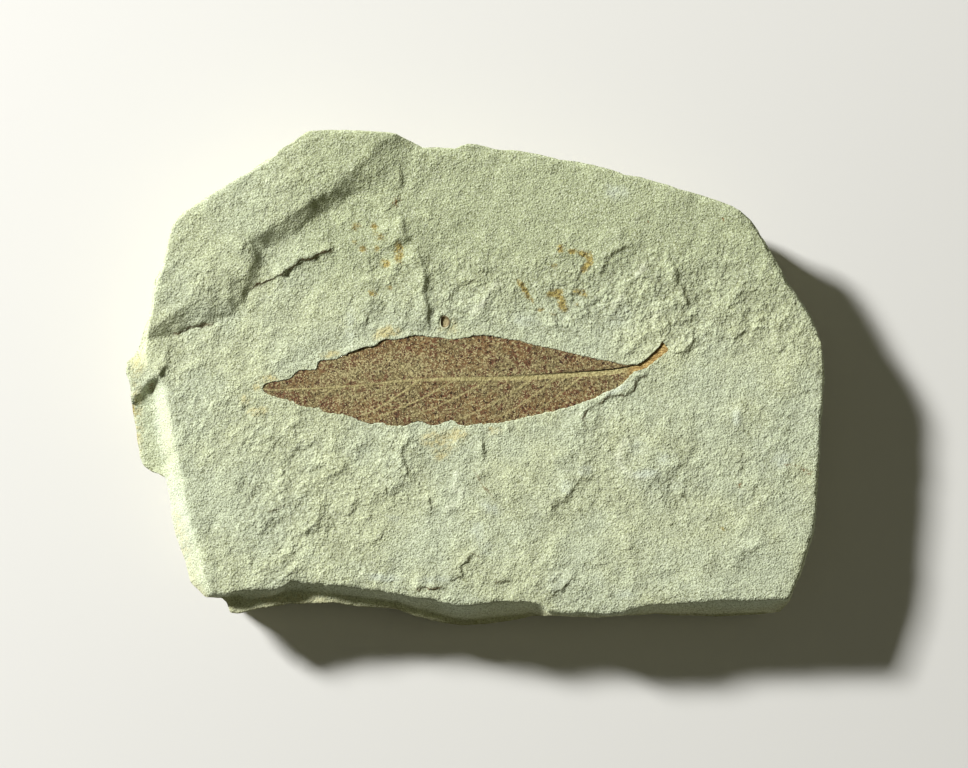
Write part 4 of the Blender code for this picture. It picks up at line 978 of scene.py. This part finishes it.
def make_seed(finish):
    """The seed's film: a dish with a rolled rim, higher and steeper on its left, as rings about
    its middle with a closed underside."""
    around = 56
    angle = np.arange(around) / around * 2.0 * math.pi
    flat_left = 1.0 - 0.16 * np.maximum(-np.cos(angle), 0.0) ** 3
    places, faces = [], []
    for share, level in SEED_PROFILE:
        x = SEED_PLACE[0] + SEED_HALF[0] * share * np.cos(angle) * flat_left
        y = SEED_PLACE[1] + SEED_HALF[1] * share * np.sin(angle)
        wobble = 0.02 * swell(x, y, 0.5, 111)
        places.append(np.stack([x, y, BED + 0.06 + level + wobble], axis=1))
    ring = np.arange(around)
    count = len(SEED_PROFILE)
    for k in range(count - 1):
        faces += quads_between(ring + k * around, ring + (k + 1) * around)
    faces += [ring.tolist(), (ring + (count - 1) * around)[::-1].tolist()]
    shares = np.repeat([share for share, _ in SEED_PROFILE], around)
    left = np.tile(np.maximum(-np.cos(angle), 0.0), count)
    # The wall's dark brown is the film's own colour, made stronger on the left as painted shade.
    wall_film_and_shade = smooth(0.62 - 0.3 * left, 0.84 - 0.2 * left, shares) * (0.55 + 0.45 * left)
    pale = np.tile(smooth(0.35, -0.45, np.cos(angle - math.radians(55.0))), count)
    pale = np.maximum(pale * smooth(0.86, 0.94, shares), smooth(1.0, 1.1, shares))
    parts = np.stack([wall_film_and_shade, smooth(0.9, 1.0, shares), pale], axis=1)
    return piece("seed_film", np.concatenate(places), faces, {"parts": parts}, finish)


# Finishes


def srgb(red, green, blue):
    """A colour given as screen values from 0 to 255, in linear light."""
    screen = np.array([red, green, blue]) / 255.0
    linear = np.where(screen < 0.04045, screen / 12.92, ((screen + 0.055) / 1.055) ** 2.4)
    return (*linear.tolist(), 1.0)


class Finish:
    """A material built up from small node steps. Each step returns the socket it makes."""

    def __init__(self, name, roughness, diffuse_roughness):
        self.material = bpy.data.materials.new(name)
        self.material.use_nodes = True
        self.nodes = self.material.node_tree.nodes
        self.links = self.material.node_tree.links
        self.shader = self.nodes["Principled BSDF"]
        self.shader.inputs["Roughness"].default_value = roughness
        self.shader.inputs["Diffuse Roughness"].default_value = diffuse_roughness
        self.shader.inputs["Specular IOR Level"].default_value = 0.25
        place = self.nodes.new("ShaderNodeTexCoord")
        scale = self.nodes.new("ShaderNodeMapping")
        scale.inputs["Scale"].default_value = (1.0 / MM,) * 3
        self.links.new(place.outputs["Object"], scale.inputs["Vector"])
        self.place = scale.outputs["Vector"]

    def step(self, kind, settings, inputs, output):
        """One node, with its settings, and its inputs set or linked."""
        node = self.nodes.new(kind)
        for name, value in settings.items():
            setattr(node, name, value)
        for name, value in inputs.items():
            socket = node.inputs[name]
            if isinstance(value, bpy.types.NodeSocket):
                self.links.new(value, socket)
            else:
                socket.default_value = value
        return node.outputs[output]

    def noise(self, per_mm, detail=3.0, rough=0.55, stretch=None):
        """Noise with this many waves in a millimetre."""
        place = self.place
        if stretch:
            place = self.step("ShaderNodeMapping", {}, {"Vector": place, **stretch}, "Vector")
        inputs = {"Vector": place, "Scale": per_mm, "Detail": detail, "Roughness": rough}
        return self.step("ShaderNodeTexNoise", {}, inputs, "Fac")

    def cells(self, per_mm):
        """Distance from the nearest cell's middle, with this many cells to a millimetre."""
        inputs = {"Vector": self.place, "Scale": per_mm}
        return self.step("ShaderNodeTexVoronoi", {"feature": "F1"}, inputs, "Distance")

    def between(self, value, low, high, start=0.0, end=1.0):
        """A value mapped in an S from low..high to start..end."""
        inputs = {"Value": value, "From Min": low, "From Max": high, "To Min": start, "To Max": end}
        settings = {"interpolation_type": "SMOOTHSTEP"}
        return self.step("ShaderNodeMapRange", settings, inputs, "Result")

    def maths(self, operation, first, second):
        return self.step("ShaderNodeMath", {"operation": operation}, {0: first, 1: second}, "Value")

    def plus(self, first, second):
        return self.maths("ADD", first, second)

    def minus(self, first, second):
        return self.maths("SUBTRACT", first, second)

    def times(self, first, *others):
        for other in others:
            first = self.maths("MULTIPLY", first, other)
        return first

    def sway(self, value, factor):
        """How far a value is from a half, times a factor."""
        return self.times(self.minus(value, 0.5), factor)

    def mix(self, share, first, second):
        inputs = {"Factor": share, 6: first, 7: second}
        return self.step("ShaderNodeMix", {"data_type": "RGBA"}, inputs, 2)

    def tint(self, colour, value, low, high, most, other):
        """A colour that gives way to another, up to a share, as a value goes from low to high."""
        return self.mix(self.between(value, low, high, 0.0, most), colour, srgb(*other))

    def shades(self, value, low, high, first, second):
        """From one colour to another as a value goes from low to high."""
        return self.mix(self.between(value, low, high), srgb(*first), srgb(*second))

    def tone(self, colour, value):
        """A colour made lighter or darker by a factor."""
        inputs = {0: colour, "Scale": value}
        return self.step("ShaderNodeVectorMath", {"operation": "SCALE"}, inputs, "Vector")

    def layers(self, attribute):
        """The three channels of one of the piece's colour attributes."""
        colour = self.step("ShaderNodeAttribute", {"attribute_name": attribute}, {}, "Color")
        split = self.nodes.new("ShaderNodeSeparateColor")
        self.links.new(colour, split.inputs[0])
        return split.outputs[0], split.outputs[1], split.outputs[2]

    def done(self, colour, relief, depth_mm):
        """The material, with its colour and a relief that is this deep from 0 to 1."""
        inputs = {"Height": relief, "Distance": depth_mm * MM, "Strength": 1.0}
        normal = self.step("ShaderNodeBump", {}, inputs, "Normal")
        self.links.new(colour, self.shader.inputs["Base Color"])
        self.links.new(normal, self.shader.inputs["Normal"])
        return self.material


def shale_finish():
    """Pale greenish cream shale, chalky and fine-grained, with ochre, yellow, chalk and rust
    stains, dark hairlines, and tan bedding lines down its broken sides."""
    f = Finish("pale shale", 0.92, 0.6)
    ochre, yellow, chalk = f.layers("stains")
    rust, upper, side = f.layers("marks")
    raised, rough, level = f.layers("relief")
    nearest, lip_rise, crack = f.layers("lips")
    patch = f.noise(0.07, 2.0)
    blotch = f.noise(0.5, 4.0, 0.6)
    lumps = f.noise(1.2, 2.0, 0.5)
    grains = f.noise(2.1, 3.0, 0.7)
    pits_and_shade = f.noise(3.6, 2.0, 0.6)
    motes = f.noise(5.2, 1.0, 0.5)
    grit, crumbs, chips = f.cells(3.0), f.cells(1.05), f.cells(1.9)
    coarse = f.between(rough, 0.25, 0.95)
    palest = (232, 236, 218)
    colour = f.shades(patch, 0.38, 0.62, (207, 216, 188), (208, 215, 180))
    colour = f.mix(upper, colour, srgb(188, 197, 159))
    colour = f.tone(colour, f.between(blotch, 0.3, 0.7, 0.95, 1.03))
    # Painted shade and highlight: the grain, pit and crumb noises also shape the bump, and here the
    # colour is darker in their low places and creases, and the pit noise's high places are painted
    # pale. The motes are specks of the stone's own colour.
    colour = f.tone(colour, f.between(grains, 0.34, 0.62, 0.84, 1.06))
    colour = f.tint(colour, pits_and_shade, 0.45, 0.34, 0.66, (112, 114, 66))
    colour = f.tint(colour, motes, 0.44, 0.32, 0.55, (116, 118, 70))
    crease_shade = f.times(f.between(crumbs, 0.42, 0.72), coarse, 0.4)
    colour = f.mix(crease_shade, colour, srgb(120, 122, 80))
    colour = f.tint(colour, pits_and_shade, 0.55, 0.68, 0.6, palest)
    colour = f.tint(colour, motes, 0.55, 0.68, 0.6, (230, 236, 212))
    # Painted shade and highlight: the stone is darker where its fine relief lies low and lighter
    # where it stands up.
    colour = f.tone(colour, f.between(raised, 0.3, 0.72, 0.86, 1.05))

    # Stains, patchy with the grain, and bedding lines down the sides.
    spread = f.noise(1.3, 4.0, 0.7)
    chalky = f.times(chalk, f.between(spread, 0.3, 0.6, 0.4, 1.2))
    colour = f.tint(colour, chalky, 0.1, 1.0, 0.6, (212, 221, 207))
    yellowed = f.times(yellow, f.between(spread, 0.35, 0.62, 0.4, 1.4))
    colour = f.tint(colour, yellowed, 0.1, 1.0, 0.62, (204, 190, 130))
    patchy = f.times(ochre, f.between(spread, 0.34, 0.58, 0.35, 1.5))
    patchy = f.times(patchy, f.between(pits_and_shade, 0.4, 0.58, 1.2, 0.85))
    earth = f.shades(grains, 0.4, 0.62, (118, 98, 40), (184, 166, 88))
    colour = f.mix(f.between(patchy, 0.12, 0.95, 0.0, 0.85), colour, earth)
    rusted = f.times(rust, f.between(grains, 0.36, 0.56, 1.5, 0.3))
    colour = f.tint(colour, rusted, 0.2, 1.1, 0.85, (128, 92, 44))
    bands = f.noise(1.0, 3.0, 0.6, {"Scale": (0.06, 0.06, 1.6)})
    tan = f.shades(bands, 0.35, 0.65, (168, 158, 114), (200, 196, 154))
    colour = f.mix(f.between(side, 0.3, 1.0, 0.0, 0.7), colour, tan)

    # Round each bed edge: its wavering distance, painted shade on its broken face with a brown
    # crack colour along cracks, and a painted highlight beside faces that face the light.
    away = f.plus(f.minus(nearest, 0.5), f.sway(f.noise(1.3, 3.0, 0.6), 0.22))
    away = f.times(away, 2.0 * LIP_REACH)
    # Painted highlight: beside the edges whose faces face the light the stone is painted pale.
    lit_face_highlight = f.times(f.between(away, -0.7, -0.1), f.between(away, 0.9, 0.1))
    lit_face_highlight = f.times(lit_face_highlight, f.between(crack, 0.5, 0.0, 0.0, 0.6))
    lit_face_highlight = f.times(lit_face_highlight, f.between(grains, 0.36, 0.56, 0.3, 1.1))
    face = f.times(f.between(away, -0.36, -0.08), f.between(away, 0.18, 0.0))
    face = f.times(face, f.between(crack, 0.42, 0.5))
    crack = f.between(crack, 0.5, 1.0)
    # Painted shade: the broken faces of the bed edges are darkened olive, and brown where there is
    # a crack.
    face_shade_strength = f.plus(f.between(lip_rise, 0.05, 0.45, 0.0, 0.3), f.times(crack, 0.5))
    face_shade_and_crack = f.mix(crack, srgb(116, 116, 70), srgb(104, 78, 44))
    colour = f.mix(f.times(face, face_shade_strength), colour, face_shade_and_crack)
    colour = f.mix(lit_face_highlight, colour, srgb(*palest))

    # Relief in millimetres: grain, crumbs, fine pits, the step of each bed edge, and thin flakes.
    relief = f.plus(f.times(lumps, 0.2), f.times(grains, 0.15))
    relief = f.minus(relief, f.times(crumbs, coarse, 0.28))
    relief = f.minus(relief, f.times(chips, coarse, 0.16))
    relief = f.plus(relief, f.minus(f.times(pits_and_shade, 0.17), f.times(grit, 0.11)))
    step = f.times(f.between(away, -0.34, 0.1), f.between(away, 1.5, 0.1))
    relief = f.plus(relief, f.times(step, f.times(lip_rise, 0.42)))
    level = f.plus(f.times(level, FLAKE_LEVELS), f.times(grains, 0.5))
    whole = f.maths("FLOOR", level, 0.0)
    flakes = f.plus(whole, f.between(f.minus(level, whole), 0.42, 0.58))
    flakes = f.times(flakes, f.between(rough, 0.25, 0.9, 0.01, 0.06))
    return f.done(colour, f.plus(relief, flakes), 1.0)


def leaf_finish():
    """The leaf's brown carbon film: two browns in slow patches with darker blotches, pale grains
    where the film has gone and the stone shows, a pale midrib and veins, a painted shadow along the
    step over the midrib, a darker margin, and an orange-brown stalk."""
    f = Finish("leaf film", 0.75, 0.3)
    vein, fold_shadow, worn = f.layers("veins")
    stalk, margin, olive = f.layers("parts")
    zone = f.noise(0.16, 2.0)
    blotch = f.noise(0.7, 4.0, 0.7)
    grains = f.noise(2.7, 3.0, 0.75)
    specks = f.noise(3.7, 2.0, 0.7)
    clump = f.noise(1.4, 2.0, 0.6)
    colour = f.shades(zone, 0.42, 0.58, (124, 97, 62), (119, 105, 70))
    olive = f.times(olive, f.between(blotch, 0.4, 0.56, 0.3, 0.7))
    colour = f.mix(olive, colour, srgb(136, 128, 86))
    colour = f.tint(colour, blotch, 0.48, 0.58, 0.8, (106, 66, 46))
    colour = f.tint(colour, blotch, 0.46, 0.34, 0.5, (138, 123, 80))
    colour = f.tint(colour, worn, 0.15, 1.0, 0.45, (138, 132, 90))
    colour = f.tint(colour, f.minus(grains, f.sway(clump, 0.3)), 0.49, 0.39, 0.95, (46, 32, 18))
    thin = f.minus(f.plus(specks, f.times(worn, 0.06)), f.sway(clump, 0.2))
    colour = f.tint(colour, thin, 0.53, 0.61, 0.95, (184, 174, 130))
    rib = f.shades(grains, 0.4, 0.6, (156, 144, 96), (200, 192, 140))
    colour = f.mix(f.times(vein, 0.92), colour, rib)
    wrinkle = f.noise(2.0, 3.0, 0.6, {"Rotation": (0.0, 0.0, -0.7), "Scale": (0.5, 2.2, 1.0)})
    stem = f.shades(wrinkle, 0.4, 0.6, (156, 122, 66), (214, 188, 124))
    colour = f.mix(f.between(stalk, 0.0, 1.0, 0.0, 0.85), colour, stem)
    colour = f.tint(colour, margin, 0.3, 1.0, 0.35, (90, 64, 40))
    # Painted shadow along the step over the midrib.
    colour = f.tint(colour, fold_shadow, 0.15, 1.0, 0.85, (56, 42, 26))
    relief = f.plus(f.times(f.noise(1.6, 3.0, 0.6), 0.2), f.times(specks, 0.22))
    return f.done(colour, relief, 1.0)


def seed_finish():
    """The seed's film: pale and grainy in the dish, dark brown round its wall, darkest on the left
    as painted shade, and round its upper rim, and the stone's own colour round the rest of its rim."""
    f = Finish("seed film", 0.6, 0.2)
    wall_film_and_shade, rim, pale = f.layers("parts")
    dish = f.shades(f.noise(4.0), 0.4, 0.6, (134, 122, 86), (164, 154, 118))
    colour = f.mix(wall_film_and_shade, dish, srgb(62, 44, 22))
    colour = f.tint(colour, rim, 0.0, 1.0, 0.8, (84, 62, 34))
    colour = f.tint(colour, pale, 0.0, 1.0, 0.9, (200, 204, 172))
    return f.done(colour, f.noise(5.0), 0.04)


# The stage


def make_floor():
    """A wide pale board just under the slab."""
    half, level = 1.5, -0.00005
    mesh = bpy.data.meshes.new("floor")
    corners = [(-half, -half), (half, -half), (half, half), (-half, half)]
    mesh.from_pydata([(x, y, level) for x, y in corners], [], [(0, 1, 2, 3)])
    material = bpy.data.materials.new("floor")
    material.use_nodes = True
    shader = material.node_tree.nodes["Principled BSDF"]
    shader.inputs["Base Color"].default_value = (0.62, 0.62, 0.61, 1.0)
    shader.inputs["Roughness"].default_value = 0.9
    mesh.materials.append(material)
    floor = bpy.data.objects.new("floor", mesh)
    bpy.context.scene.collection.objects.link(floor)


def aimed(obj, place, target):
    """Puts an object at a place, looking at a target."""
    obj.location = place
    obj.rotation_euler = (Vector(target) - Vector(place)).to_track_quat("-Z", "Y").to_euler()
    bpy.context.scene.collection.objects.link(obj)


def add_light(name, from_degrees, elevation, distance, size, watts, colour):
    """A square soft light, placed round the slab by its compass angle from +X."""
    light = bpy.data.lights.new(name, "AREA")
    light.size = size
    light.energy = watts
    light.color = colour
    turn, rise = math.radians(from_degrees), math.radians(elevation)
    place = (
        distance * math.cos(rise) * math.cos(turn),
        distance * math.cos(rise) * math.sin(turn),
        BED * MM + distance * math.sin(rise),
    )
    aimed(bpy.data.objects.new(name, light), place, (0.0, 0.0, BED * MM))


def add_camera():
    """A long lens almost straight above, tipped a little towards the slab's front."""
    camera = bpy.data.cameras.new("camera")
    distance, picture_width = 900.0, 161.33
    picture_middle = np.array([1.333, -2.333])
    camera.sensor_width = 36.0
    camera.lens = camera.sensor_width * distance / picture_width
    obj = bpy.data.objects.new("camera", camera)
    aim = picture_middle - PLAN_MIDDLE
    tip = math.radians(4.0)
    target = (aim[0] * MM, aim[1] * MM, BED * MM)
    place = (
        target[0],
        target[1] - distance * MM * math.sin(tip),
        target[2] + distance * MM * math.cos(tip),
    )
    aimed(obj, place, target)
    bpy.context.scene.camera = obj


def light_the_room():
    """Key light low from the upper left, as in raking light, and a soft even fill."""
    warm = (1.0, 0.97, 0.66)
    add_light("key", 147.0, 34.0, distance=1.2, size=0.165, watts=30.2, colour=(1.0, 0.99, 0.96))
    add_light("fill", -20.0, 60.0, distance=1.2, size=0.9, watts=0.8, colour=warm)
    world = bpy.data.worlds.new("room")
    world.use_nodes = True
    background = world.node_tree.nodes["Background"]
    background.inputs["Color"].default_value = (*warm, 1.0)
    background.inputs["Strength"].default_value = 0.07
    bpy.context.scene.world = world
    bpy.context.scene.view_settings.view_transform = "Standard"


add_camera()
light_the_room()
make_floor()

slab = make_stone(shale_finish())
leaf = make_leaf(leaf_finish())
seed = make_seed(seed_finish())
dressed = ((slab, "slab", "shale"), (leaf, "leaf", "leaf_film"), (seed, "seed", "seed_film"))
for made, node, slot in dressed:
    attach(made, "root")
    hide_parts(node)
